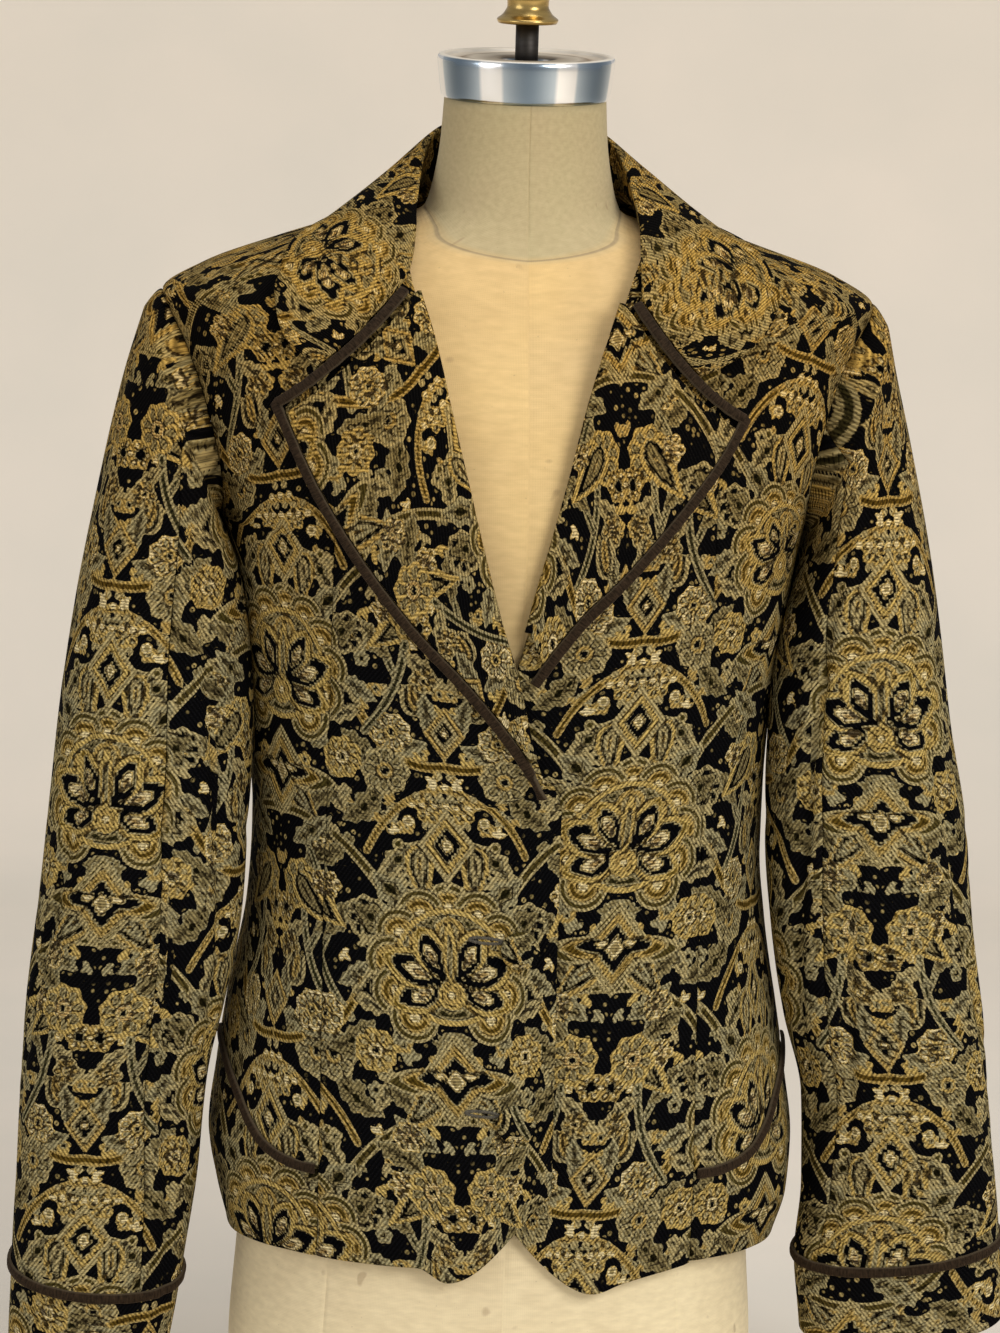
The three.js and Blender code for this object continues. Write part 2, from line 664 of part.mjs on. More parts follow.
function edgeTrim(side) {
  const surface = (q, s) => lapelPoint(side, q, s);
  const beside = (s) => insideEdge(side, Math.min(s, 0.99), TRIM_WIDTH / 2);
  const along = spread(0, 0.97, 16).map((s) => [beside(s), s]);
  const gorge = spread(beside(1), 0.06, 8).map((q) => [q, 1]);
  const places = [...along, ...gorge];
  const normals = places.map((place) => surfaceNormal(surface, place, LAPEL_STEPS)
    .multiplyScalar(-inwardSign(side)));
  const points = places.map(([q, s], i) => surface(q, s).addScaledVector(normals[i], -1.2));
  return strip(points, normals, false, TRIM_WIDTH, TRIM_HEIGHT + 0.4);
}

// Collar: s from the centre back to the gorge on each side, w from the neck seam to the edge
function collarPoint(s, w) {
  const row = read(COLLAR, Math.abs(s));
  const stand = new THREE.Vector3(row.bx, row.by, row.bz);
  const fold = new THREE.Vector3(row.fx, row.fy, row.fz);
  const edge = new THREE.Vector3(row.ox, row.oy, row.oz);
  let point = stand.lerp(fold, Math.min(w / COLLAR_FOLD, 1));
  if (w > COLLAR_FOLD) {
    const t = (w - COLLAR_FOLD) / (1 - COLLAR_FOLD);
    const out = COLLAR_RISE * Math.sin(Math.PI * Math.sqrt(t)) * (1 - 0.75 * Math.abs(s));
    const level = Math.hypot(edge.x - fold.x, edge.y - fold.y);
    point = fold.clone().lerp(edge, t);
    point.x += (out * (edge.x - fold.x)) / level;
    point.y += (out * (edge.y - fold.y)) / level;
    point.z += out * 0.8;
    point = clearOfBody(point);
  }
  point.x *= Math.sign(s) || 1;
  const bend = (Math.abs(s) - COLLAR_TURN) / (1 - COLLAR_TURN);
  return bend > 0 ? point.lerp(collarEnd(s < 0 ? 'right' : 'left', w), bend) : point;
}

// Front end of the collar: beside the piping along the gorge
function collarEnd(side, w) {
  const q = mix(0.06, COLLAR_GORGE[side], Math.max(w - COLLAR_FOLD, 0) / (1 - COLLAR_FOLD));
  const [own, z] = lapelPlace(side, 1, q);
  const [nextOwn, nextZ] = lapelPlace(side, 1, q + 0.02);
  const square = new THREE.Vector2(z - nextZ, nextOwn - own).setLength(TRIM_WIDTH / 2 + SEAM);
  const tuck = Math.max(COLLAR_FOLD - w, 0) * 10;
  return laidOnFront(side, own + square.x, z + square.y, lapelRaise(q) - 0.4 - tuck);
}

// Moves a point of the collar out to a small distance above the fronts and the back
function clearOfBody(point) {
  const row = read(BODY, point.z - 2);
  const wide = row.right + COLLAR_GAP;
  const deep = (point.y < 0 ? row.front : row.back) + COLLAR_GAP;
  const power = 2 / ROUND;
  const level = ((Math.abs(point.x) / wide) ** power + (Math.abs(point.y) / deep) ** power) ** (1 / power);
  if (level < 1) {
    point.x /= level;
    point.y /= level;
  }
  return point;
}

function collar() {
  const across = [0, 0.14, 0.24, 0.3, 0.36, 0.48, 0.65, 0.82, 1];
  const half = [...spread(0, COLLAR_TURN, 8), 0.84, 0.88, 0.94, 1];
  const stations = [...half.slice(1).map((s) => -s).reverse(), ...half];
  const places = stations.map((s) => across.map((w) => [s, w]));
  return wall(collarPoint, places, [0.01, 0.01], -1);
}

// Pocket piping on the seam above each hip piece
function pocketTrim(side) {
  const surface = (turn, z) => bodyPoint(side, turn, z);
  const places = spread(0.01, 0.98, 14).map((u) => {
    const z = pocketHeight(side, u);
    return [sideTurn(side, u, z, 90), z];
  });
  const normals = places.map((place) => surfaceNormal(surface, place, BODY_STEPS)
    .multiplyScalar(-inwardSign(side)));
  const points = places.map(([turn, z], i) => surface(turn, z).addScaledVector(normals[i], SEAM + 0.3));
  return strip(points, normals);
}

function button(z) {
  const profile = [[0, 0], [BUTTON_RADIUS - 2.5, 0], [BUTTON_RADIUS, 2.2], [BUTTON_RADIUS - 0.6, 4],
    [BUTTON_RADIUS - 3.5, 6], [BUTTON_RADIUS - 7, BUTTON_DEPTH], [0, BUTTON_DEPTH]];
  const geometry = new THREE.LatheGeometry(profile.map(([r, h]) => new THREE.Vector2(r, h)), 16);
  const surface = (own, height) => frontPoint('right', own, height);
  const normal = surfaceNormal(surface, [BUTTON_OWN, z], FRONT_STEPS).multiplyScalar(-inwardSign('right'));
  const seat = surface(BUTTON_OWN, z).addScaledVector(normal, BUTTON_SEAT);
  geometry.applyQuaternion(new THREE.Quaternion().setFromUnitVectors(new THREE.Vector3(0, 1, 0), normal));
  geometry.translate(seat.x, seat.y, seat.z);
  return geometry;
}

// Dress form
function formPoint(turn, z) {
  const row = read(FORM, z);
  const s = Math.sin(radians(turn));
  const c = Math.cos(radians(turn));
  const round = mix(ROUND, 1, THREE.MathUtils.smoothstep(z, 700, 735));
  const deep = c > 0 ? row.front : row.back;
  return new THREE.Vector3(row.half * signedPower(s, round), -deep * signedPower(c, round), z);
}

function lathe(profile, segments) {
  const geometry = new THREE.LatheGeometry(profile.map(([r, z]) => new THREE.Vector2(r, z)), segments);
  geometry.rotateX(Math.PI / 2);
  return geometry;
}

const capProfile = [[0, 784.3], [46, 784.3], [47.5, 786], [50, 806], [49, 808.5], [45.5, 808.5],
  [43, 806], [18, 807], [14, 805], [14, 796], [0, 796]];
const rodProfile = [[0, 796.3], [6.5, 796.3], [6.5, 826], [0, 826]];
const finialProfile = [[0, 826.3], [16.5, 826.3], [17.5, 828.5], [14, 831], [11.5, 835], [11.8, 840],
  [17, 846], [21, 854], [21.5, 861], [18.5, 869], [12, 875], [5, 878], [0, 878.5]];

// Assembly
const group = new THREE.Group();

function add(name, geometry, material) {
  const [color, roughness, metalness] = COLOURS[material];
  const mesh = new THREE.Mesh(geometry, new THREE.MeshStandardMaterial({ color, roughness, metalness }));
  mesh.name = name;
  group.add(mesh);
}

add('form_torso', ringSolid(FORM_ROWS, 28, formPoint), 'linen');
add('form_cap', lathe(capProfile, 28), 'steel');
add('form_rod', lathe(rodProfile, 12), 'iron');
add('form_finial', lathe(finialProfile, 20), 'brass');
add('collar', collar(), 'tapestry');

for (const side of ['right', 'left']) {
  const topEnd = FRONT_SEAM - TOP_SLEEVE_STEPS * LOOP_STEP;
  const underEnd = FRONT_SEAM + UNDER_SLEEVE_STEPS * LOOP_STEP;
  const top = sleevePiece(side, FRONT_SEAM - SLEEVE_SEAM, topEnd + SLEEVE_SEAM, TOP_SLEEVE_STEPS);
  const lower = sleevePiece(side, FRONT_SEAM + SLEEVE_SEAM, underEnd - SLEEVE_SEAM, UNDER_SLEEVE_STEPS);
  add(`centre_front_${side}`, centreFront(side), 'tapestry');
  add(`side_front_${side}`, sideFront(side), 'tapestry');
  add(`hip_front_${side}`, hipFront(side), 'tapestry');
  add(`back_${side}`, back(side), 'tapestry');
  add(`top_sleeve_${side}`, top, 'tapestry');
  add(`under_sleeve_${side}`, lower, 'tapestry');
  add(`cuff_${side}`, cuff(side), 'tapestry');
  add(`lapel_${side}`, lapel(side), 'tapestry');
  add(`edge_piping_${side}`, edgeTrim(side), 'velvet');
  add(`pocket_piping_${side}`, pocketTrim(side), 'velvet');
  add(`cuff_piping_${side}`, cuffTrim(side), 'velvet');
}

for (const [name, z] of BUTTONS) {
  add(name, button(z), 'tapestry');
}

export default group;
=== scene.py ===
"""Looks of a tapestry blazer with velvet edges, worn by a limbless dress form.

Sizes are in millimetres and turned to metres when a mesh is made. +Z is up, the front
faces -Y and the wearer's right side is at -X.
"""

import math

import bpy
import numpy as np
from mathutils import Matrix, Vector


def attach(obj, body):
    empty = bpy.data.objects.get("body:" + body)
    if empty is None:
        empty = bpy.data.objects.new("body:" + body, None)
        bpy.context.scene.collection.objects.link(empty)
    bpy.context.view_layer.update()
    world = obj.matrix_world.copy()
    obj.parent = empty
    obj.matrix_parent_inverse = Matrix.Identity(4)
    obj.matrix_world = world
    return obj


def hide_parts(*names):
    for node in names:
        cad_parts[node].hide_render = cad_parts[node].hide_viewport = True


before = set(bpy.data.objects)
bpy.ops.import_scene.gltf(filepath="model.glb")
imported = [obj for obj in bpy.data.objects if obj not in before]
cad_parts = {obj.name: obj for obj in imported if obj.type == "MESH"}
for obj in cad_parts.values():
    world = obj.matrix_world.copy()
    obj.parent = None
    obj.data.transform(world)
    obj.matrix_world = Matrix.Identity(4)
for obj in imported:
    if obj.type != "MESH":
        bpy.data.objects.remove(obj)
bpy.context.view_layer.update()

MM = 0.001
GRID = 1.5  # spacing of the points of a cloth's outside
HIDDEN_GRID = 1.9  # the same where the cloth faces away from the camera
COARSE = 6  # outer steps for each step of the inside
WALL = 2.0
SEAM = 0.4
SEAM_HALF = SEAM / 2
SEAM_TURN = 0.08  # half a seam, in degrees round the body
SEAM_SINK = 0.8  # how far the cloth sinks beside a seam
SEAM_REACH = 2.2  # how far from the seam it sinks
ARMHOLE_GAP = 0.15
ROUND = 0.9  # a power below 1 makes the body's section a little squarer than an ellipse
SHOULDER_TIP = 672
UNDERARM = 548
ARMHOLE_FRONT = 22  # widest reach of the armhole, in degrees from the side
ARMHOLE_BACK = 23
NECK_TOP = 722
OVERLAP_INSET = 3.8  # how far the left front lies behind the right one
PRINCESS = 106  # distance of the long front seams from the centre
TRIM_WIDTH = 6
TRIM_HEIGHT = 2.2
FOLD_RADIUS = 3
ROLL_TURN = 105
COLLAR_FOLD = 0.3  # share of the collar's width that stands
COLLAR_GAP = 3.6
COLLAR_TURN = 0.8  # share of its length after which it turns into the gorge
COLLAR_RISE = 3
BUTTON_RADIUS = 11
BUTTON_OWN = -3
BUTTONS = {"button_upper": 321, "button_lower": 224}
SIDES = {"right": -1, "left": 1}


class Table:
    """Rows of sizes under named columns, read between rows on a smooth curve."""

    def __init__(self, columns, rows):
        self.columns = columns.split()[1:]
        rows = np.array(rows, float)
        self.at = rows[:, 0]
        self.values = rows[:, 1:]
        secant = np.diff(self.values, axis=0) / np.diff(self.at)[:, None]
        self.slope = np.zeros_like(self.values)
        self.slope[0] = secant[0]
        self.slope[-1] = secant[-1]
        before, after = secant[:-1], secant[1:]
        same = before * after > 0
        total = np.where(same, before + after, 1)
        self.slope[1:-1] = np.where(same, 2 * before * after / total, 0)

    def read(self, at, column):
        c = self.columns.index(column)
        at = np.clip(at, self.at[0], self.at[-1])
        i = np.clip(np.searchsorted(self.at, at, side="right") - 1, 0, len(self.at) - 2)
        span = self.at[i + 1] - self.at[i]
        t = (at - self.at[i]) / span
        a, b = self.values[i, c], self.values[i + 1, c]
        m0, m1 = self.slope[i, c] * span, self.slope[i + 1, c] * span
        t2, t3 = t * t, t * t * t
        return (2 * t3 - 3 * t2 + 1) * a + (t3 - 2 * t2 + t) * m0 + (3 * t2 - 2 * t3) * b + (t3 - t2) * m1


# Half widths and depths of the jacket's body
BODY = Table("z right left front back", [
    [50, 151, 158, 124, 128], [128, 153, 161, 126, 130], [160, 160, 169, 127, 131],
    [190, 165, 171, 127, 130], [225, 162, 167, 125, 126], [270, 156, 159, 121, 117],
    [322, 146, 150, 115, 104], [360, 144, 147, 113, 98], [434, 149, 149, 121, 101],
    [499, 157, 157, 133, 108], [548, 166, 165, 136, 112], [610, 187, 182, 128, 115],
    [650, 197, 193, 111, 110], [672, 201, 200, 99, 103], [686, 181, 181, 89, 97], [701, 141, 141, 77, 88],
    [712, 107, 107, 67, 78], [726, 64, 64, 56, 60], [740, 50, 50, 48, 50]])

# Half widths and depths of the dress form
FORM = Table("z half front back", [
    [0, 149, 115, 118], [64, 151, 117, 120], [134, 147, 117, 121], [190, 146, 117, 121],
    [225, 145, 116, 117], [270, 141, 113, 108], [322, 133, 107, 95], [360, 129, 104, 89],
    [434, 134, 112, 92], [499, 143, 124, 98], [548, 149, 127, 102], [610, 154, 116, 104],
    [640, 162, 101, 98], [664, 176, 85, 90], [682, 170, 76, 84], [698, 136, 66, 80], [708, 98, 59, 72],
    [716, 66, 55, 60], [723, 55, 52.5, 54], [735, 51, 49.5, 51], [760, 47, 46, 47],
    [784, 45.5, 45.5, 45.5]])

# Front edge and fold of each side, as distance from the centre
FOLD = Table("z right left", [
    [120, -24, -26], [378, -24, -26], [408, -16, -20], [444, -5, -14], [477, 3, -7], [508, 13, 0],
    [544, 23, 9], [582, 33, 19], [625, 44, 30], [662, 53, 42], [692, 62, 53], [710, 65, 61],
    [726, 65, 65]])

HEM = {
    "right": Table("x z", [[-26, 186], [33, 131], [50, 139], [106, 139]]),
    "left": Table("x z", [[-28, 196], [50, 125], [66, 130], [106, 138]]),
}
HEM_SIDE = 136
HEM_BACK = 130
POCKET_FRONT = 191
POCKET_SIDE = 248
POCKET = Table("turn z", [
    [34, POCKET_FRONT], [41, POCKET_FRONT], [47, 193], [53, 198], [59, 208], [65, 221], [71, 231], [78, 240],
    [90, POCKET_SIDE]])

LAPEL_EDGE = {
    "right": Table("s x z", [
        [0, -11, 404], [0.1, -3, 420], [0.2, 14, 444], [0.36, 38, 472], [0.52, 67, 502], [0.7, 96, 539],
        [0.84, 120, 576], [1, 142, 621]]),
    "left": Table("s x z", [
        [0, 7, 470], [0.15, 22, 492], [0.3, 36, 510], [0.5, 58, 533], [0.7, 82, 561], [0.88, 109, 596],
        [1, 122, 619]]),
}
LAPEL_FOLD_HEIGHTS = {"right": (410, 692), "left": (492, 688)}
LAPEL_START = {"right": 0.075, "left": 0.06}
GORGE_BOW = {"right": 5, "left": 9}

COLLAR = Table("s bx by bz fx fy fz ox oy oz", [
    [0, 0, 60, 729, 0, 63, 767, 0, 92, 720], [0.25, 40, 46, 731, 38, 48, 765, 68, 80, 717],
    [0.45, 57, 14, 731, 53, 16, 755, 102, 20, 716], [0.62, 61, -20, 726, 59, -20, 738, 126, -33, 704],
    [0.8, 63, -56, 712, 62, -54, 719, 141, -72, 685], [0.88, 62, -70, 705, 61, -72, 709, 147, -88, 671],
    [0.9, 62, -72, 703, 61, -76, 706, 143, -92, 667], [1, 61, -84, 695, 60, -92, 693, 118, -106, 645]])
COLLAR_GORGE = {"right": 0.66, "left": 0.54}

SLEEVE = {
    "right": Table("ring outZ outX inZ inX mid depth drop", [
        [1, 662, 211, 545, 166, -4, 67, 0], [2, 618, 224, 532, 158, -15, 64, 0],
        [3, 572, 234, 512, 151, -22, 61, 0], [4, 500, 247, 478, 147, -28, 57, 0],
        [5, 440, 255, 428, 145, -31, 54, 0], [6, 380, 260, 373, 147, -32, 52, 0],
        [7, 325, 265, 320, 150, -33, 50, 2], [8, 270, 271, 268, 159, -32, 47, 4],
        [9, 228, 273, 224, 168, -30, 45, 6], [10, 176, 275, 171, 172, -29, 42, 8],
        [11, 115, 277, 111, 179, -28, 40, 9], [12, 66, 278, 62, 187, -27, 39, 9]]),
    "left": Table("ring outZ outX inZ inX mid depth drop", [
        [1, 662, 208, 545, 166, -3, 67, 0], [2, 622, 217, 532, 162, -6, 65, 0],
        [3, 572, 228, 512, 156, -16, 61, 0], [4, 505, 240.5, 478, 147, -28, 58, 0],
        [5, 440, 250, 428, 145, -31, 55, 0], [6, 380, 261, 373, 147, -32, 52, 0],
        [7, 325, 267, 320, 152, -33, 50, 2], [8, 270, 276, 268, 161, -32, 46, 4],
        [9, 226, 281, 220, 174, -30, 43, 6], [10, 180, 287, 170, 176, -29, 38, 7],
        [11, 137, 292, 125, 173, -28, 33, 8], [12, 91, 296, 80, 178, -27, 32, 8]]),
}
CUFF_RING = 11
SLEEVE_END = 12
RING_GAP = 0.006
SLEEVE_ROUND = 0.94
SEAM_SHIFT = {
    "right": Table("ring turn", [[0, 0], [4, 3], [8, 14], [12, 34]]),
    "left": Table("ring turn", [[0, 0], [2.5, 26], [6, 30], [12, 60]]),
}
SLEEVE_CLEAR = 0.4
SLEEVE_EASE = 2
FRONT_SEAM = 90  # degrees round the sleeve, as the next two
BACK_SEAM = -108
SLEEVE_SEAM = 0.22

# Largest folds of each sleeve: deepest ring, place round the sleeve, slope, depth and spreads
SLEEVE_FOLDS = [
    (2.6, 60, 0.006, 4, 0.9, 16), (4.2, 95, 0.01, 3.5, 1.2, 14), (5.6, 130, 0.012, 4.5, 0.6, 26),
    (6.5, 35, -0.01, 3.5, 0.5, 24), (7.4, 110, 0.012, 4, 0.5, 26), (6.2, 280, 0.008, 4, 0.7, 24),
    (8.6, 300, -0.01, 3.5, 0.6, 22), (3.4, 300, 0.006, 4, 1.0, 16)]

# Soft hollows of the fronts: distance from the centre, height, depth and spreads
BODY_FOLDS = [(134, 470, 2.5, 10, 55), (48, 372, 2, 26, 18), (130, 345, 2, 9, 26)]

# Creases of the body: turn round it, height, slant, length, width and depth (a ridge is negative)
BODY_CREASES = [
    (14, 300, 12, 34, 5, 0.9), (22, 330, -14, 40, 5, 1.0), (30, 262, 24, 30, 6, -0.7),
    (52, 505, 70, 48, 6, 1.3), (60, 480, 78, 42, 5, -1.0), (66, 420, 62, 34, 7, 1.1),
    (72, 360, 30, 24, 5, 1.0), (58, 352, 16, 30, 5, -0.8), (46, 380, 22, 34, 6, 0.9),
    (64, 300, -24, 26, 6, 0.8), (40, 600, 80, 50, 8, 1.0), (80, 520, 84, 40, 6, 1.2),
    (104, 470, 80, 44, 7, 1.3), (116, 400, 40, 40, 7, -1.1), (128, 368, 18, 46, 6, 1.2),
    (140, 344, 8, 46, 6, -1.0), (152, 330, -10, 40, 7, 1.0), (168, 420, 84, 60, 8, 1.0),
    (150, 560, 70, 60, 9, -1.0), (120, 600, 78, 44, 8, 1.2), (108, 200, 66, 34, 8, 0.9),
    (136, 180, 84, 36, 9, -0.9), (160, 190, 86, 40, 9, 0.9)]

# Creases of the sleeves: place round, ring, slant, length, width and depth
SLEEVE_CREASES = [
    (50, 2.2, 66, 34, 5, 1.2), (74, 3.4, 74, 46, 5, -1.0), (104, 2.8, 60, 36, 6, 1.3),
    (120, 4.6, 48, 40, 6, 1.2), (60, 5.4, 24, 34, 5, -1.0), (86, 5.9, 12, 38, 5, 1.3),
    (110, 6.5, -8, 34, 5, -1.1), (40, 6.9, 26, 34, 5, 1.1), (70, 7.6, -16, 36, 5, 1.1),
    (100, 8.3, 20, 32, 5, -0.9), (36, 8.9, -26, 32, 5, 0.9), (80, 9.6, 12, 34, 5, 0.9),
    (150, 6.0, 10, 36, 6, 1.3), (230, 5.4, -16, 40, 6, 1.2), (270, 6.3, 14, 42, 6, -1.2),
    (300, 7.0, -12, 40, 6, 1.2), (320, 3.6, 72, 44, 6, 1.0), (280, 3.0, -64, 40, 6, -1.0),
    (250, 7.9, 10, 38, 6, 1.0), (310, 9.2, -10, 36, 6, -0.9), (0, 6.2, 8, 30, 5, 0.8),
    (340, 4.9, 30, 36, 6, 0.9), (10, 8.6, -14, 30, 5, 0.8)]


def radians(degrees):
    return np.asarray(degrees, float) * (math.pi / 180)


def mix(a, b, t):
    return a + (b - a) * t


def smooth(t, low, high):
    t = np.clip((np.asarray(t, float) - low) / (high - low), 0, 1)
    return t * t * (3 - 2 * t)


def bell(t):
    return np.exp(-t * t)


def signed_power(v, p):
    return np.sign(v) * np.abs(v) ** p


def join(x, y, z):
    return np.stack(np.broadcast_arrays(x, y, z), axis=-1)


def unit(v):
    return v / np.maximum(np.linalg.norm(v, axis=-1, keepdims=True), 1e-9)


# Body


def hollow(own, z):
    return sum(deep * bell((own - x) / wide) * bell((z - height) / high)
               for x, height, deep, wide, high in BODY_FOLDS)


def body_point(side, turn, z):
    across, ahead = np.sin(radians(turn)), np.cos(radians(turn))
    deep = np.where(ahead > 0, BODY.read(z, "front"), BODY.read(z, "back"))
    own = BODY.read(z, side) * signed_power(across, ROUND)
    y = -deep * signed_power(ahead, ROUND)
    return join(SIDES[side] * own, y + np.where(ahead > 0, hollow(own, z), 0), z)


def turn_at(side, own, z):
    ratio = np.minimum(np.abs(own) / BODY.read(z, side), 1)
    return np.degrees(np.arcsin(ratio ** (1 / ROUND))) * np.sign(own)


def front_point(side, own, z, lift=0.0):
    other = "left" if side == "right" else "right"
    own = np.asarray(own, float)
    here = body_point(side, turn_at(side, np.abs(own), z), z)
    there = body_point(other, turn_at(other, np.abs(own), z), z)
    y = np.where(own < 0, there[..., 1], here[..., 1])
    return join(SIDES[side] * own, y - lift, z)


def armhole_height(loop):
    return UNDERARM + (SHOULDER_TIP - UNDERARM) * (1 + np.cos(radians(loop))) / 2


def armhole_turn(z, back):
    level = np.clip(2 * (z - UNDERARM) / (SHOULDER_TIP - UNDERARM) - 1, -1, 1)
    cut = np.sqrt(1 - level * level)
    return np.where(back, 90 + ARMHOLE_BACK * cut, 90 - ARMHOLE_FRONT * cut)


def hem_share(z):
    return np.clip((UNDERARM - z) / (UNDERARM - HEM_SIDE), 0, None)


def underlap(side, own):
    if side == "right":
        return np.zeros_like(np.asarray(own, float))
    return OVERLAP_INSET * (1 - smooth(own, 28, 48))


def princess_at(side, z):
    return np.minimum(PRINCESS, BODY.read(z, side) * 0.995)


def side_turn(side, u, z, side_edge):
    return mix(turn_at(side, princess_at(side, z) + SEAM_HALF, z), side_edge, u)


def pocket_height(side, u):
    return POCKET.read(side_turn(side, u, 205, 90), "z")


# Sleeves


def armhole_point(side, loop):
    z = armhole_height(loop)
    point = body_point(side, armhole_turn(z, np.mod(loop, 360) > 180), z)
    point[..., 0] += SIDES[side] * ARMHOLE_GAP
    return point


def sleeve_ring(side, ring, loop):
    row = {name: SLEEVE[side].read(ring, name) for name in SLEEVE[side].columns}
    out, ahead = np.cos(radians(loop)), np.sin(radians(loop))
    own = mix(row["inX"], row["outX"], (1 + signed_power(out, SLEEVE_ROUND)) / 2)
    y = row["mid"] - row["depth"] * signed_power(ahead, SLEEVE_ROUND)
    z = mix(row["inZ"], row["outZ"], (1 + out) / 2) - row["drop"] * ahead
    return join(SIDES[side] * own, y, z)


def sleeve_fold(ring, loop):
    depth = 0
    for at, around, slope, deep, length, width in SLEEVE_FOLDS:
        apart = np.mod(loop - around + 540, 360) - 180
        depth = depth + deep * bell((ring - at - slope * apart * 10) / length) * bell(apart / width)
    return depth


def beside_body(side, point):
    """The inside of a sleeve lies along the body's side, just clear of it."""
    x, y, z = np.moveaxis(point, -1, 0)
    deep = np.where(y < 0, BODY.read(z, "front"), BODY.read(z, "back"))
    ahead = np.minimum(np.abs(y) / deep, 1) ** (1 / ROUND)
    edge = BODY.read(z, side) * np.sqrt(1 - ahead * ahead) ** ROUND + SLEEVE_CLEAR
    own = x * SIDES[side]
    apart = np.clip(own - edge, -SLEEVE_EASE, SLEEVE_EASE)
    push = np.maximum(edge - own, 0) + (SLEEVE_EASE - np.abs(apart)) ** 2 / (4 * SLEEVE_EASE)
    x = x + SIDES[side] * push * (1 - smooth(z, UNDERARM - 12, UNDERARM + 8))
    return join(x, y, z)


def sleeve_tube(side, ring, loop):
    point = sleeve_ring(side, ring, loop)
    middle = (sleeve_ring(side, ring, 0) + sleeve_ring(side, ring, 180)) / 2
    inward = middle - point
    inward[..., 2] = 0
    return beside_body(side, point + unit(inward) * sleeve_fold(ring, loop)[..., None])


def sleeve_point(side, loop, ring):
    loop, ring = np.broadcast_arrays(np.asarray(loop, float), np.asarray(ring, float))
    tube = sleeve_tube(side, np.maximum(ring, 1), loop)
    start = armhole_point(side, loop)
    end = sleeve_tube(side, np.ones_like(ring), loop)
    slope = (sleeve_tube(side, np.full_like(ring, 1.5), loop) - end) * 0.8
    t = np.clip(ring, -0.05, 1)[..., None]
    cap = start * (1 - t * t) + end * t * t + slope * t * t * (t - 1)
    return np.where(ring[..., None] >= 1, tube, cap)


def seam_shift(side, ring, loop):
    return SEAM_SHIFT[side].read(ring, "turn") * np.cos(radians((loop - 90) / 2)) ** 4


# Lapels and collar


def lapel_raise(q):
    return 3.8 + 2.4 * np.sin(math.pi * np.minimum(q * 1.4 + 0.2, 1))


def laid_on_front(side, own, z, lift):
    slant = 1 + 0.6 * (own / 130) ** 2
    return front_point(side, own, z, lift * slant - underlap(side, own))


def lapel_place(side, s, q):
    low, high = LAPEL_FOLD_HEIGHTS[side]
    fold_z = mix(low, high, s)
    fold = FOLD.read(fold_z, side) + FOLD_RADIUS
    sag = GORGE_BOW[side] * 4 * q * (1 - q) * np.maximum(s, 0) ** 3
    own = mix(fold, LAPEL_EDGE[side].read(s, "x"), q)
    return own, mix(fold_z, LAPEL_EDGE[side].read(s, "z"), q) - sag


def lapel_point(side, q, s):
    q, s = np.broadcast_arrays(np.asarray(q, float), np.asarray(s, float))
    flat = np.maximum(q, 0)
    arc = radians(90 - np.minimum(q, 0) * ROLL_TURN)
    own, z = lapel_place(side, s, flat)
    lift = lapel_raise(flat) - FOLD_RADIUS * (1 - np.sin(arc))
    return laid_on_front(side, own + FOLD_RADIUS * np.cos(arc), z, lift)


def inside_edge(side, s, distance):
    fold_own, fold_z = lapel_place(side, s, 0)
    own, z = lapel_place(side, s, 1)
    next_own, next_z = lapel_place(side, s + 0.01, 1)
    along, up = next_own - own, next_z - z
    length = np.hypot(along, up)
    square = np.abs(along * (z - fold_z) - up * (own - fold_own)) / length
    return 1 - np.minimum(distance / square, 0.9)


def clear_of_body(point):
    x, y, z = np.moveaxis(point, -1, 0)
    wide = BODY.read(z - 2, "right") + COLLAR_GAP
    deep = np.where(y < 0, BODY.read(z - 2, "front"), BODY.read(z - 2, "back")) + COLLAR_GAP
    power = 2 / ROUND
    level = ((np.abs(x) / wide) ** power + (np.abs(y) / deep) ** power) ** (1 / power)
    level = np.minimum(level, 1)
    return join(x / level, y / level, z)


def collar_end(side, w):
    q = mix(0.06, COLLAR_GORGE[side], np.maximum(w - COLLAR_FOLD, 0) / (1 - COLLAR_FOLD))
    own, z = lapel_place(side, 1.0, q)
    next_own, next_z = lapel_place(side, 1.0, q + 0.02)
    length = np.hypot(next_own - own, next_z - z)
    reach = TRIM_WIDTH / 2 + SEAM
    tuck = np.maximum(COLLAR_FOLD - w, 0) * 10
    own = own + (z - next_z) / length * reach
    return laid_on_front(side, own, z + (next_own - lapel_place(side, 1.0, q)[0]) / length * reach,
                         lapel_raise(q) - 0.4 - tuck)


def collar_point(s, w):
    s, w = np.broadcast_arrays(np.asarray(s, float), np.asarray(w, float))
    across = np.abs(s)
    stand, fold, edge = (join(*(COLLAR.read(across, kind + axis) for axis in "xyz")) for kind in "bfo")
    low = mix(stand, fold, np.minimum(w / COLLAR_FOLD, 1)[..., None])
    t = np.maximum(w - COLLAR_FOLD, 0) / (1 - COLLAR_FOLD)
    out = COLLAR_RISE * np.sin(math.pi * np.sqrt(t)) * (1 - 0.75 * across)
    level = np.hypot(edge[..., 0] - fold[..., 0], edge[..., 1] - fold[..., 1])
    rise = join((edge - fold)[..., 0] / level, (edge - fold)[..., 1] / level, 0.8)
    high = clear_of_body(mix(fold, edge, t[..., None]) + rise * out[..., None])
    point = np.where((w > COLLAR_FOLD)[..., None], high, low)
    point[..., 0] *= np.where(s < 0, -1, 1)
    bend = np.clip((across - COLLAR_TURN) / (1 - COLLAR_TURN), 0, 1)[..., None]
    end = np.where((s < 0)[..., None], collar_end("right", w), collar_end("left", w))
    return mix(point, end, bend)


# Meshes


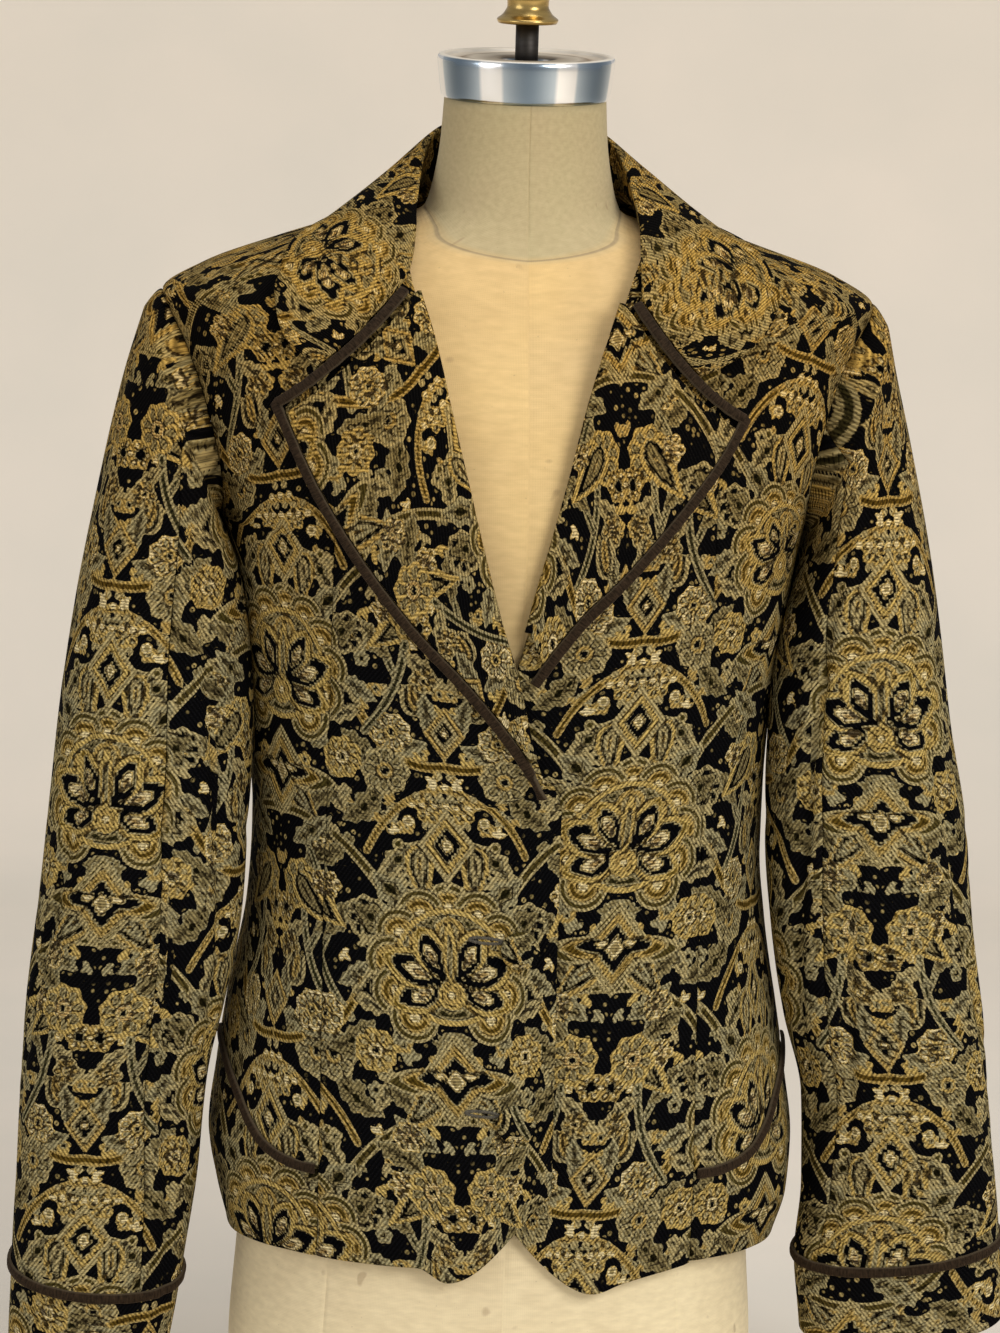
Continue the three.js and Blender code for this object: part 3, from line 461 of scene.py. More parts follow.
def normals(surface, a, b, steps):
    """Normals of a surface, the same on both sides of a seam."""
    step_a, step_b = steps
    across = surface(a + step_a, b) - surface(a - step_a, b)
    along = surface(a, b + step_b) - surface(a, b - step_b)
    return unit(np.cross(across, along))


def new_object(name, data):
    obj = bpy.data.objects.new(name, data)
    bpy.context.collection.objects.link(obj)
    return obj


def piece(name, points, faces, material, flat=None, node=None):
    """A piece of the part; tapestry takes its pattern from the places on the flat cloth."""
    mesh = bpy.data.meshes.new(name)
    mesh.from_pydata((points * MM).tolist(), [], faces)
    mesh.polygons.foreach_set("use_smooth", [True] * len(mesh.polygons))
    if material == TAPESTRY:
        layer = mesh.attributes.new("weave", "FLOAT_COLOR", "POINT")
        layer.data.foreach_set("color", weave_at(flat).astype(np.float32).ravel())
    if flat is not None:
        corner = np.zeros(len(mesh.loops), dtype=np.int64)
        mesh.loops.foreach_get("vertex_index", corner)
        mesh.uv_layers.new(name="cloth").data.foreach_set("uv", flat[corner].astype(np.float32).ravel())
    mesh.materials.append(material)
    obj = new_object(name, mesh)
    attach(obj, "root")
    if node:
        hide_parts(node)
    return obj


def ring_ids(rings, closed):
    """Numbers of the points of a row of rings, with the first ring again at the end of a closed row."""
    ids = np.arange(rings.shape[0] * rings.shape[1]).reshape(rings.shape[:2])
    return np.concatenate([ids, ids[:1]]) if closed else ids


def beside_line(points, outward, ring):
    """Directions across a line that lies on a surface with these normals."""
    before = np.roll(points, 1, axis=0) if ring else np.concatenate([points[:1], points[:-1]])
    after = np.roll(points, -1, axis=0) if ring else np.concatenate([points[1:], points[-1:]])
    return unit(np.cross(unit(after - before), outward))


def grid_faces(ids, flip, ring=False):
    if ring:
        ids = np.concatenate([ids, ids[:, :1]], axis=1)
    a, b, c, d = ids[:-1, :-1], ids[:-1, 1:], ids[1:, 1:], ids[1:, :-1]
    order = (a, d, c, b) if flip else (a, b, c, d)
    return np.stack(order, axis=-1).reshape(-1, 4).tolist()


def rim_faces(fine, coarse, flip):
    """Closes the thickness between a fine outer edge and a coarse inner edge."""
    faces = []
    for i in range(len(coarse) - 1):
        start = i * COARSE
        half = start + COARSE // 2
        for k in range(start, start + COARSE):
            faces.append((fine[k], fine[k + 1], coarse[i] if k < half else coarse[i + 1]))
        faces.append((fine[half], coarse[i + 1], coarse[i]))
    return [face[::-1] for face in faces] if flip else faces


def lengths(points):
    """Distances along the rows and the columns of a grid of points."""
    across = np.linalg.norm(np.diff(points, axis=1), axis=-1)
    along = np.linalg.norm(np.diff(points, axis=0), axis=-1)
    u = np.concatenate([np.zeros((len(points), 1)), np.cumsum(across, axis=1)], axis=1)
    v = np.concatenate([np.zeros((1, points.shape[1])), np.cumsum(along, axis=0)], axis=0)
    return u, v


def steps_for(length, grid):
    return COARSE * max(1, round(length / grid / COARSE))


def cloth(name, places, surface, steps, inward, size, origin, relief, ring=False, seams="", turn=0.0,
          grid=GRID, upright=False, **held):
    """A closed thin wall of cloth: places(u, v) gives the surface's two values over a unit square."""
    wide, high = (steps_for(length, grid) for length in size)
    u, v = np.meshgrid(np.linspace(0, 1, wide + 1), np.linspace(0, 1, high + 1))
    a, b = places(u, v)
    plain = surface(a, b)
    outward = normals(surface, a, b, steps) * -inward
    row, column = lengths(plain)
    start_u, start_v = origin(a, b, row, column)
    across, up = (lengths(plain * (1, 1, 0))[0], plain[..., 2]) if upright else (row, column)
    flat = join(start_u + across, start_v + up, 0)[..., :2]
    c, s = math.cos(turn), math.sin(turn)
    flat = flat @ np.array([[c, s], [-s, c]])
    lift = relief(a, b)
    from_edge = {"l": row, "r": row[:, -1:] - row, "b": column, "t": column[-1:] - column}
    for edge in seams:
        lift = lift - SEAM_SINK * bell(from_edge[edge] / SEAM_REACH)
    outer = plain + outward * lift[..., None]
    inner = (plain + outward * (np.minimum(lift, 0) - WALL)[..., None])[::COARSE, ::COARSE]
    if ring:
        outer, inner, flat = outer[:, :-1], inner[:, :-1], flat[:, :-1]
    ids = ring_ids(outer, False)
    inside = ids.size + ring_ids(inner, False)
    row_at, column_at = high // 2, wide // 2
    middle = outer[row_at, column_at]
    facing = np.cross(outer[row_at, column_at + 1] - middle, outer[row_at + 1, column_at] - middle)
    flip = bool((facing * outward[row_at, column_at]).sum() < 0)
    faces = grid_faces(ids, flip, ring) + grid_faces(inside, not flip, ring)
    for k, turned_round in ((0, not flip), (-1, flip)):
        lines = [np.append(line, line[0]) if ring else line for line in (ids[k], inside[k])]
        faces += rim_faces(*lines, turned_round)
        if not ring:
            faces += rim_faces(ids[:, k], inside[:, k], not turned_round)
    points = np.concatenate([outer.reshape(-1, 3), inner.reshape(-1, 3)])
    flat = np.concatenate([flat.reshape(-1, 2), flat[::COARSE, ::COARSE].reshape(-1, 2)])
    obj = piece(name, points, faces, TAPESTRY, flat, name)


# Tapestry pattern, drawn as signed distances over one half-drop repeat

REPEAT_WIDE = 212
REPEAT_HIGH = 330
FAR = 9.0
SPRIGS, ROSETTES = 0.2, 0.16  # shares of the small figures
INK, OLIVE, SAGE, KHAKI, OCHRE, GOLD, CREAM, RUST = 0, 0.14, 0.28, 0.42, 0.56, 0.7, 0.86, 1.0


class Drawing:
    """What is woven at each point: distance inside a figure, to its edge, its colour and its marks."""

    def __init__(self, x, y):
        self.x, self.y = x, y
        self.figure = np.full(x.shape, -FAR)
        self.edge = np.full(x.shape, FAR)
        self.tint = np.full(x.shape, float(KHAKI))
        self.mark = np.full(x.shape, -FAR)

    def local(self, at, reach, paint, *values):
        """Paints with x and y measured from a point, on the cloth within reach of it."""
        near = (np.abs(self.x - at[0]) < reach) & (np.abs(self.y - at[1]) < reach)
        if not near.any():
            return
        part = Drawing(self.x[near] - at[0], self.y[near] - at[1])
        layers = ("figure", "edge", "tint", "mark")
        for name in layers:
            setattr(part, name, getattr(self, name)[near])
        paint(part, *values)
        for name in layers:
            getattr(self, name)[near] = getattr(part, name)

    def lay(self, inside, tint):
        over = inside > 0
        self.edge = np.where(over, inside, np.minimum(self.edge, -inside))
        self.figure = np.maximum(self.figure, inside)
        self.tint = np.where(over, tint, self.tint)
        self.mark = np.where(over, -FAR, self.mark)

    def note(self, inside):
        self.mark = np.maximum(self.mark, inside)

    def spot(self, at, radius, tint):
        self.lay(disc(self, at, radius), tint)

    def petal(self, tint, *shape):
        self.lay(petal(self, *shape)[0], tint)


def petal(draw, at, angle, length, width, bend=0.0, lobes=0, swell=1.25):
    """Leaf shape from a point outwards: signed distance, place along it and across it."""
    c, s = math.cos(math.radians(angle)), math.sin(math.radians(angle))
    dx, dy = draw.x - at[0], draw.y - at[1]
    t = (dx * c + dy * s) / length
    inner = np.clip(t, 0, 1)
    across = dy * c - dx * s - bend * length * inner * inner
    wide = width / 2 * np.sin(math.pi * inner ** swell) ** 0.75
    if lobes:
        wide = wide * (1 + 0.18 * np.cos(2 * math.pi * lobes * inner))
    beyond = np.maximum(np.abs(t - 0.5) - 0.5, 0) * length
    side = wide - np.abs(across)
    return np.where(beyond > 0, -np.hypot(beyond, np.maximum(-side, 0)), side * 0.85), t, across


def disc(draw, at, radius):
    return radius - np.hypot(draw.x - at[0], draw.y - at[1])


def lozenge(draw, at, wide, high):
    return 0.7 * min(wide, high) * (1 - np.abs(draw.x - at[0]) / wide - np.abs(draw.y - at[1]) / high)


def polar(radius, angle, centre=(0, 0)):
    turn = math.radians(angle)
    return centre[0] + radius * math.cos(turn), centre[1] + radius * math.sin(turn)


def curve(start, bend, end, count=14):
    t = np.linspace(0, 1, count)[:, None]
    return (1 - t) ** 2 * np.array(start) + 2 * t * (1 - t) * np.array(bend) + t * t * np.array(end)


def stroke(draw, line, half):
    """Signed distance to a ribbon along a line, and the distance run along it."""
    best = np.full(draw.x.shape, 1e3)
    run = np.zeros_like(draw.x)
    travelled = 0.0
    for a, b in zip(line[:-1], line[1:]):
        d = b - a
        length = math.hypot(*d)
        t = np.clip(((draw.x - a[0]) * d[0] + (draw.y - a[1]) * d[1]) / length ** 2, 0, 1)
        away = np.hypot(draw.x - a[0] - t * d[0], draw.y - a[1] - t * d[1])
        near = away < best
        run = np.where(near, travelled + t * length, run)
        best = np.where(near, away, best)
        travelled += length
    return half - best, run


def leaf(draw, angle, length, width, tint, bend=0.15, lobes=4):
    inside, t, across = petal(draw, (0, 0), angle, length, width, bend, lobes)
    draw.lay(inside, tint)
    draw.lay(inside - 3.6, INK if width > 17 else OLIVE)
    draw.note(np.minimum(0.7 - np.abs(across), inside - 1.6))
    slanted = np.mod(t * length - np.abs(across) * 0.9, 4.6) - 2.3
    draw.note(np.minimum(0.7 - np.abs(slanted), inside - 1.6))


def ribbed_stem(draw, line, half, tint):
    inside, run = stroke(draw, line, half)
    draw.lay(inside, tint)
    ribs = np.abs(np.mod(run, 3.6) - 1.8)
    draw.note(np.minimum(0.6 - ribs, inside - 0.9))


def round_flower(draw, radius, petals, tint, inner, heart, turn=0.0):
    for k in range(petals):
        angle = turn + 360 * k / petals
        root = polar(radius * 0.3, angle)
        draw.petal(tint, (0, 0), angle, radius, radius * 0.78, 0, 0, 1.7)
        draw.petal(inner, root, angle, radius * 0.52, radius * 0.34, 0, 0, 1.4)
    draw.spot((0, 0), radius * 0.34, heart)
    draw.spot((0, 0), radius * 0.15, INK)


def paisley(draw, angle, length, width, tint, inner):
    for shrink, colour in ((0, tint), (0.16, INK), (0.24, inner), (0.4, CREAM)):
        body, _, _ = petal(draw, (0, 0), angle, length, width, 0.42, 0, 0.62)
        draw.lay(body - width * shrink, colour)
    for k in range(7):
        share = 0.12 + 0.125 * k
        c, s = math.cos(math.radians(angle)), math.sin(math.radians(angle))
        off = 0.42 * length * share * share
        spot = (c * length * share - s * off, s * length * share + c * off)
        draw.note(disc(draw, spot, 1.2))


def sprig(draw, angle, size, tint):
    for turn, share in ((-52, 0.8), (52, 0.8), (0, 1.0)):
        draw.petal(tint, (0, 0), angle + turn, size * share, size * 0.42, 0, 0, 1.1)


def rosette(draw, size, tint):
    for k in range(5):
        draw.spot(polar(size * 0.62, 72 * k + 18), size * 0.42, tint)
    draw.spot((0, 0), size * 0.3, INK)


def scallops(draw, radius, lobe, angles, outer, inner):
    for angle in angles:
        at = polar(radius, angle)
        draw.spot(at, lobe, outer)
        draw.spot(at, lobe * 0.62, inner)
        draw.spot(at, lobe * 0.24, CREAM)


def great_palmette(draw):
    """Scalloped flower with dark inner leaves and a spotted bud, symmetrical about x = 0."""
    for at, angle, length, width, tint in (((8, -10), -58, 42, 20, SAGE), ((12, -2), -24, 48, 20, KHAKI),
                                           ((14, 12), 20, 46, 17, OLIVE), ((10, 20), 50, 46, 17, SAGE)):
        draw.local(at, 56, leaf, angle, length, width, tint, 0.14 if angle < 30 else -0.1)
    scallops(draw, 35, 14.5, (90, 62, 34, 6, -22, -50), KHAKI, OCHRE)
    draw.spot((0, 2), 33, GOLD)
    draw.spot((0, 2), 29.5, OLIVE)
    scallops(draw, 21, 9.5, (90, 45, 0, -45), OCHRE, KHAKI)
    draw.spot((0, 2), 17, KHAKI)
    for angle, length, width in ((-30, 31, 15), (14, 34, 16), (56, 29, 13)):
        root = (2.5, -6)
        draw.petal(GOLD, root, angle, length + 5, width + 6, 0.1, 0, 1.2)
        draw.petal(INK, root, angle, length, width, 0.1, 0, 1.2)
        draw.petal(CREAM, polar(9, angle, root), angle, length * 0.5, width * 0.5, 0.08)
        draw.petal(RUST, polar(12, angle, root), angle, length * 0.26, width * 0.2, 0.05)
    for radius, tint in ((8.5, GOLD), (5.6, OCHRE), (2.4, CREAM)):
        draw.spot((0, -14), radius, tint)
    draw.petal(GOLD, (0, -8), 90, 36, 9, 0, 0, 0.9)
    draw.petal(OLIVE, (0, -4), 90, 24, 3.4, 0, 0, 0.9)
    for size, tint in ((17, KHAKI), (12.5, GOLD), (8.5, INK), (4.2, CREAM)):
        draw.lay(lozenge(draw, (0, 70), size, size * 1.3), tint)
    for size, tint in ((12, OCHRE), (8.5, KHAKI), (5, INK), (2.4, CREAM)):
        draw.lay(lozenge(draw, (0, 138), size, size * 1.4), tint)
    for k in range(6):
        draw.spot(polar(28, 8 + 32 * k, (0, 66)), 3.4, CREAM if k % 2 else KHAKI)
    for row in range(4):
        for k in range(4 - row):
            draw.spot((6.4 * k + 3.2 * (row % 2), 94 + 6 * row), 2.3, KHAKI if row % 2 else CREAM)
    for size, tint in ((24, KHAKI), (18, OCHRE), (12, INK), (6, CREAM)):
        draw.lay(lozenge(draw, (0, -62), size, size * 1.15), tint)
        draw.petal(tint, (4, -58), -26, size * 1.5, size * 0.7, 0.3, 0, 1.1)


STEMS = [
    ((0, -84), (40, -80), (70, -124), 3.2, KHAKI), ((0, 118), (34, 112), (54, 156), 3.0, OCHRE),
    ((60, -30), (92, 6), (80, 60), 2.6, SAGE), ((20, -96), (48, -130), (28, -160), 2.4, SAGE),
    ((106, -60), (76, -66), (60, -100), 2.4, OCHRE)]
LEAVES = [
    ((44, -84), 22, 34, 15, OLIVE, 0.3), ((38, -82), -128, 32, 14, SAGE, -0.25),
    ((68, -118), 62, 34, 15, KHAKI, -0.3), ((30, 116), 12, 34, 14, OLIVE, 0.34),
    ((36, 120), 140, 28, 12, SAGE, 0.3), ((48, 146), -14, 30, 14, KHAKI, 0.3),
    ((84, 48), 128, 30, 13, OLIVE, 0.3), ((82, 20), -34, 28, 12, KHAKI, -0.3),
    ((68, -12), 158, 24, 11, SAGE, -0.2), ((30, -150), 30, 26, 12, OLIVE, 0.3),
    ((96, -30), 84, 26, 11, SAGE, 0.2), ((58, 84), 60, 26, 12, KHAKI, -0.2),
    ((66, 100), -50, 24, 11, OLIVE, 0.2)]
PAISLEYS = [
    ((18, -118), 292, 36, 21, GOLD, OLIVE), ((100, 96), 200, 34, 19, OCHRE, SAGE),
    ((92, -96), 250, 30, 17, GOLD, KHAKI), ((14, 148), 60, 30, 16, KHAKI, OCHRE)]
FLOWERS = [
    ((88, 40), 15, 8, GOLD, OLIVE, RUST, 11), ((72, -52), 15, 8, KHAKI, OLIVE, OCHRE, 0),
    ((30, 136), 12, 8, CREAM, SAGE, GOLD, 20), ((100, -128), 12, 6, OCHRE, SAGE, CREAM, 8),
    ((58, -138), 13, 8, KHAKI, INK, GOLD, 4), ((76, 70), 9, 6, CREAM, OLIVE, RUST, 0),
    ((60, 118), 13, 8, GOLD, KHAKI, CREAM, 14), ((86, 134), 10, 6, SAGE, KHAKI, GOLD, 30),
    ((94, 4), 9, 6, KHAKI, OCHRE, CREAM, 6), ((36, -122), 8, 5, CREAM, OCHRE, RUST, 0),
    ((96, -74), 8, 5, GOLD, SAGE, CREAM, 12), ((6, -140), 9, 6, OCHRE, CREAM, INK, 0)]


def side_growth(draw):
    """Stems, leaves and flowers between two palmettes."""
    for start, bend, end, half, tint in STEMS:
        ribbed_stem(draw, curve(start, bend, end), half, tint)
    for paint, spare, figures in ((leaf, 10, LEAVES), (paisley, 12, PAISLEYS)):
        for at, angle, length, *looks in figures:
            draw.local(at, length + spare, paint, angle, length, *looks)
    for at, radius, *looks in FLOWERS:
        draw.local(at, radius + 4, round_flower, radius, *looks)


def fillers(draw):
    """Small rosettes and sprigs scattered over the whole ground."""
    growing = np.random.default_rng(11)
    columns, rows = 12, 36
    for i in range(columns):
        for k in range(rows):
            kind, angle = growing.uniform(0, 1), growing.uniform(0, 360)
            at = ((i + growing.uniform(0.2, 0.8)) * REPEAT_WIDE / 2 / columns,
                  (k + growing.uniform(0.2, 0.8)) * REPEAT_HIGH / rows - REPEAT_HIGH / 2)
            tint = growing.choice([OLIVE, SAGE, KHAKI, KHAKI, OCHRE, GOLD, CREAM])
            if kind < SPRIGS:
                draw.local(at, 12, sprig, angle, 7.6, tint)
            elif kind < SPRIGS + ROSETTES:
                draw.local(at, 9, rosette, 5.0, tint)


def weave_at(flat):
    """Pattern at places of the cloth: edge distance, figure distance, tint and mark."""
    u, v = flat[:, 0], flat[:, 1]
    half = REPEAT_WIDE / 2
    folded = np.abs(np.mod(u + half, REPEAT_WIDE) - half)

    def level(shift):
        return np.mod(v - shift + REPEAT_HIGH / 2, REPEAT_HIGH) - REPEAT_HIGH / 2

    draw = Drawing(folded, level(0))
    copies = [(folded, level(0)), (half - folded, level(REPEAT_HIGH / 2))]
    fillers(draw)
    for paint in (side_growth, great_palmette):
        for draw.x, draw.y in copies:
            paint(draw)
    edge, figure, mark = (np.clip(value, -FAR, FAR) for value in (draw.edge, draw.figure, draw.mark))
    return np.stack([edge, figure, draw.tint, mark], axis=-1)


# Materials

WAVE_SCALE = 0.31416  # scale of bands that lie one unit apart
GROUND = (0.0022, 0.0023, 0.0034)
YARNS = [
    (0.0, GROUND), (0.14, (0.021, 0.018, 0.006)), (0.28, (0.033, 0.031, 0.014)),
    (0.42, (0.066, 0.051, 0.015)), (0.56, (0.090, 0.057, 0.010)), (0.7, (0.150, 0.099, 0.019)),
    (0.86, (0.270, 0.218, 0.104)), (1.0, (0.070, 0.026, 0.010))]
LINES = [
    (0.0, (0.02, 0.02, 0.022)), (0.14, (0.215, 0.182, 0.090)), (0.28, (0.295, 0.272, 0.165)),
    (0.42, (0.375, 0.322, 0.170)), (0.56, (0.390, 0.285, 0.098)), (0.7, (0.470, 0.360, 0.130)),
    (0.86, (0.640, 0.565, 0.350)), (1.0, (0.400, 0.285, 0.115))]
THREAD = 2.1
THREAD_SLANT = 38
SPOTS = 0.21  # filler dots per millimetre
NECK_SEAM = 700
NECK_RISE = 22  # how much higher the neck seam is at the sides


class Nodes:
    """Short ways to add and join shader nodes in one material."""

    def __init__(self, name, roughness, metallic=0.0, sheen=0.0, specular=0.5):
        self.material = bpy.data.materials.new(name)
        self.material.use_nodes = True
        self.tree = self.material.node_tree
        self.shader = self.tree.nodes["Principled BSDF"]
        for socket, value in (("Roughness", roughness), ("Metallic", metallic), ("Sheen Weight", sheen),
                              ("Specular IOR Level", specular)):
            self.shader.inputs[socket].default_value = value

    def put(self, socket, value):
        if isinstance(value, bpy.types.NodeSocket):
            self.tree.links.new(value, socket)
        else:
            socket.default_value = (*value, 1) if socket.type == "RGBA" else value

    def add(self, kind, **sockets):
        node = self.tree.nodes.new(kind)
        for name, value in sockets.items():
            self.put(node.inputs[name.replace("_", " ")], value)
        return node

    def math(self, operation, *values):
        node = self.tree.nodes.new("ShaderNodeMath")
        node.operation = operation
        for socket, value in zip(node.inputs, values):
            self.put(socket, value)
        return node.outputs[0]

    def product(self, first, *others):
        for other in others:
            first = self.math("MULTIPLY", first, other)
        return first

    def rise(self, value, low, high):
        """0 at low and 1 at high, and no less or more beyond them."""
        return self.add("ShaderNodeMapRange", Value=value, From_Min=low, From_Max=high).outputs[0]

    def mix(self, share, a, b, blend="MIX"):
        node = self.tree.nodes.new("ShaderNodeMix")
        node.data_type = "RGBA"
        node.blend_type = blend
        for socket, value in zip((node.inputs[0], node.inputs[6], node.inputs[7]), (share, a, b)):
            self.put(socket, value)
        return node.outputs[2]

    def times(self, color, factor, share=1.0):
        return self.mix(share, color, factor, "MULTIPLY")

    def shade(self, color, value, low, high):
        """A colour times low where the value is 0 and times high where it is 1."""
        return self.times(color, self.ramp(value, [(0.0, low), (1.0, high)]))

    def ramp(self, value, stops):
        node = self.tree.nodes.new("ShaderNodeValToRGB")
        self.put(node.inputs[0], value)
        for _ in stops[2:]:
            node.color_ramp.elements.new(0.5)
        for element, (place, color) in zip(node.color_ramp.elements, stops):
            element.position = place
            element.color = (*color, 1)
        return node.outputs[0]

    def place(self):
        return self.add("ShaderNodeTexCoord").outputs["Object"]

    def cloth_place(self):
        return self.add("ShaderNodeUVMap").outputs[0]

    def axis(self, vector, index):
        return self.add("ShaderNodeSeparateXYZ", Vector=vector).outputs[index]

    def noise(self, vector, scale, detail=2.0):
        return self.add("ShaderNodeTexNoise", Vector=vector, Scale=scale, Detail=detail).outputs[0]

    def turned(self, vector, degrees, stretch=(1, 1, 1)):
        turn = (0, 0, math.radians(degrees))
        return self.add("ShaderNodeMapping", Vector=vector, Rotation=turn, Scale=stretch).outputs[0]

    def threads(self, vector, degrees, spacing):
        """Rows of thread at an angle, from 0 in the grooves to 1 on the threads."""
        return self.add("ShaderNodeTexWave", Vector=self.turned(vector, degrees), Scale=WAVE_SCALE / spacing,
                        Distortion=0.6, Detail_Scale=2.0).outputs["Fac"]

    def bump(self, height, distance, strength):
        node = self.add("ShaderNodeBump", Height=height, Distance=distance, Strength=strength)
        self.put(self.shader.inputs["Normal"], node.outputs[0])

    def done(self, color):
        self.put(self.shader.inputs["Base Color"], color)
        return self.material


def tapestry_material():
    n = Nodes("tapestry", 0.95, specular=0.03)
    place = n.cloth_place()
    weave = n.tree.nodes.new("ShaderNodeAttribute")
    weave.attribute_name = "weave"
    to_edge, inside, tint = n.add("ShaderNodeSeparateColor", Color=weave.outputs["Color"]).outputs
    ragged = n.math("SUBTRACT", n.noise(place, 0.8), 0.5)
    edge = n.math("ADD", to_edge, ragged)
    figure = n.math("ADD", inside, ragged)
    mark = n.math("MULTIPLY_ADD", ragged, 0.5, weave.outputs["Alpha"])

    yarn = n.times(n.ramp(tint, YARNS), (0.72, 0.80, 0.74), n.rise(n.noise(place, 0.045, 3.0), 0.42, 0.75))
    seeds = n.rise(n.noise(place, 0.34, 1.0), 0.56, 0.62)
    yarn = n.times(yarn, (0.30, 0.27, 0.24), n.product(seeds, 0.55))
    between_beads = n.rise(n.noise(place, 0.62, 1.0), 0.50, 0.34)
    line = n.times(n.ramp(tint, LINES), (0.42, 0.40, 0.36), between_beads)
    yarn = n.mix(n.product(n.rise(edge, 1.85, 1.45), n.rise(tint, 0.06, 0.1)), yarn, line)
    dark = n.times(yarn, (0.10, 0.09, 0.09))
    yarn = n.mix(n.product(n.rise(edge, 0.65, 0.3), n.rise(figure, 0.9, 1.2)), yarn, dark)
    yarn = n.mix(n.product(n.rise(mark, -0.15, 0.15), 0.75), yarn, dark)

    spots = n.add("ShaderNodeTexVoronoi", Vector=place, Scale=SPOTS, Randomness=0.8)
    away = n.math("DIVIDE", spots.outputs["Distance"], SPOTS)
    chosen, paler, _ = n.add("ShaderNodeSeparateColor", Color=spots.outputs["Color"]).outputs
    dot = n.product(n.rise(away, 1.75, 1.35), n.rise(away, 0.35, 0.65), n.rise(chosen, 0.30, 0.34),
                    n.rise(n.noise(place, 0.032, 2.0), 0.60, 0.54), n.rise(figure, -1.0, -1.5))
    ground = n.mix(n.rise(n.noise(place, 1.6, 3.0), 0.55, 0.75), GROUND, (0.010, 0.010, 0.009))
    ground = n.mix(dot, ground, n.mix(paler, (0.16, 0.13, 0.055), (0.36, 0.29, 0.13)))
    color = n.mix(n.rise(figure, -0.15, 0.15), ground, yarn)

    first, second = (n.threads(place, slant, THREAD) for slant in (THREAD_SLANT, -THREAD_SLANT))
    leaning = n.mix(n.rise(tint, 0.48, 0.5), second, first)
    hatch = n.mix(n.rise(tint, 0.8, 0.82), leaning, n.threads(place, 90, THREAD * 0.8))
    # Painted shade and highlight of the weave: the colour is darker in the grooves between threads and
    # lighter on the threads.
    color = n.shade(color, hatch, (0.52, 0.50, 0.46), (1.36, 1.33, 1.26))
    flecks = n.rise(n.noise(n.turned(place, THREAD_SLANT, (1.0, 3.2, 1)), 0.5, 2.0), 0.3, 0.72)
    color = n.shade(color, flecks, (0.60, 0.60, 0.62), (1.34, 1.28, 1.14))
    # Painted light: from 0.46 m upwards the cloth turns gradually more golden, standing in for warmer light
    # on the upper chest, lapels and collar.
    color = n.times(color, (0.98, 0.83, 0.60), n.rise(n.axis(n.place(), 2), 0.46, 0.66))
    raised = n.product(n.rise(figure, -0.4, 1.2), 0.6)
    n.bump(n.math("MULTIPLY_ADD", hatch, 0.45, raised), 0.00045, 0.9)
    return n.done(color)


def velvet_material():
    n = Nodes("velvet", 0.92, sheen=0.16, specular=0.1)
    n.shader.inputs["Sheen Roughness"].default_value = 0.4
    n.shader.inputs["Sheen Tint"].default_value = (0.42, 0.30, 0.22, 1)
    place = n.cloth_place()
    nap = n.noise(n.turned(place, 0, (0.25, 0.9, 1)), 1.1, 3.0)
    color = n.ramp(nap, [(0.3, (0.010, 0.006, 0.003)), (0.75, (0.044, 0.027, 0.015))])
    # Painted sheen: both sides of the piping are mixed towards a lighter brown, as velvet pile looks where it
    # turns away.
    rim = n.rise(n.math("ABSOLUTE", n.axis(place, 0)), 2.3, 2.9)
    n.bump(n.noise(place, 2.2, 3.0), 0.0005, 0.6)
    return n.done(n.mix(n.product(rim, 0.45), color, (0.13, 0.10, 0.06)))


def linen_material():
    n = Nodes("linen", 0.82, sheen=0.06, specular=0.3)
    place = n.cloth_place()
    up = n.axis(place, 1)
    color = n.ramp(n.rise(up, 120, 780), [
        (0.0, (0.88, 0.76, 0.50)), (0.55, (0.76, 0.56, 0.26)), (0.875, (0.74, 0.51, 0.22)),
        (0.882, (0.50, 0.41, 0.225)), (1.0, (0.47, 0.385, 0.210))])
    aged = n.rise(n.noise(place, 0.012, 4.0), 0.35, 0.75)
    sewn = n.rise(n.math("ABSOLUTE", n.math("SUBTRACT", up, NECK_SEAM)), 0.6, 0.25)
    spots = n.rise(n.noise(place, 0.075, 1.0), 0.73, 0.78)
    for share, strength, tint in ((aged, 0.35, (0.50, 0.37, 0.22)), (sewn, 0.45, (0.17, 0.13, 0.09)),
                                  (spots, 0.4, (0.30, 0.19, 0.10))):
        color = n.mix(n.product(share, strength), color, tint)
    fibres = n.rise(n.noise(n.turned(place, 12, (0.35, 1.0, 1)), 0.30, 4.0), 0.35, 0.7)
    color = n.shade(color, fibres, (0.93, 0.92, 0.90), (1.05, 1.05, 1.05))
    flaws = n.rise(n.noise(place, 0.5, 1.0), 0.76, 0.79)
    color = n.mix(n.product(flaws, 0.3), color, (0.22, 0.14, 0.08))
    height = n.math("ADD", n.threads(place, 0, 0.9), n.threads(place, 90, 0.9))
    n.bump(height, 0.0001, 0.35)
    return n.done(n.shade(color, n.product(height, 0.5), (0.97, 0.97, 0.97), (1.02, 1.02, 1.02)))


def metal_material(name, color, worn, roughness):
    n = Nodes(name, roughness, metallic=1.0)
    dull = n.noise(n.turned(n.place(), 0, (1, 1, 6)), 40.0, 3.0)
    n.put(n.shader.inputs["Roughness"], n.math("MULTIPLY_ADD", dull, 0.25, roughness - 0.1))
    return n.done(n.mix(n.rise(dull, 0.45, 0.75), color, worn))


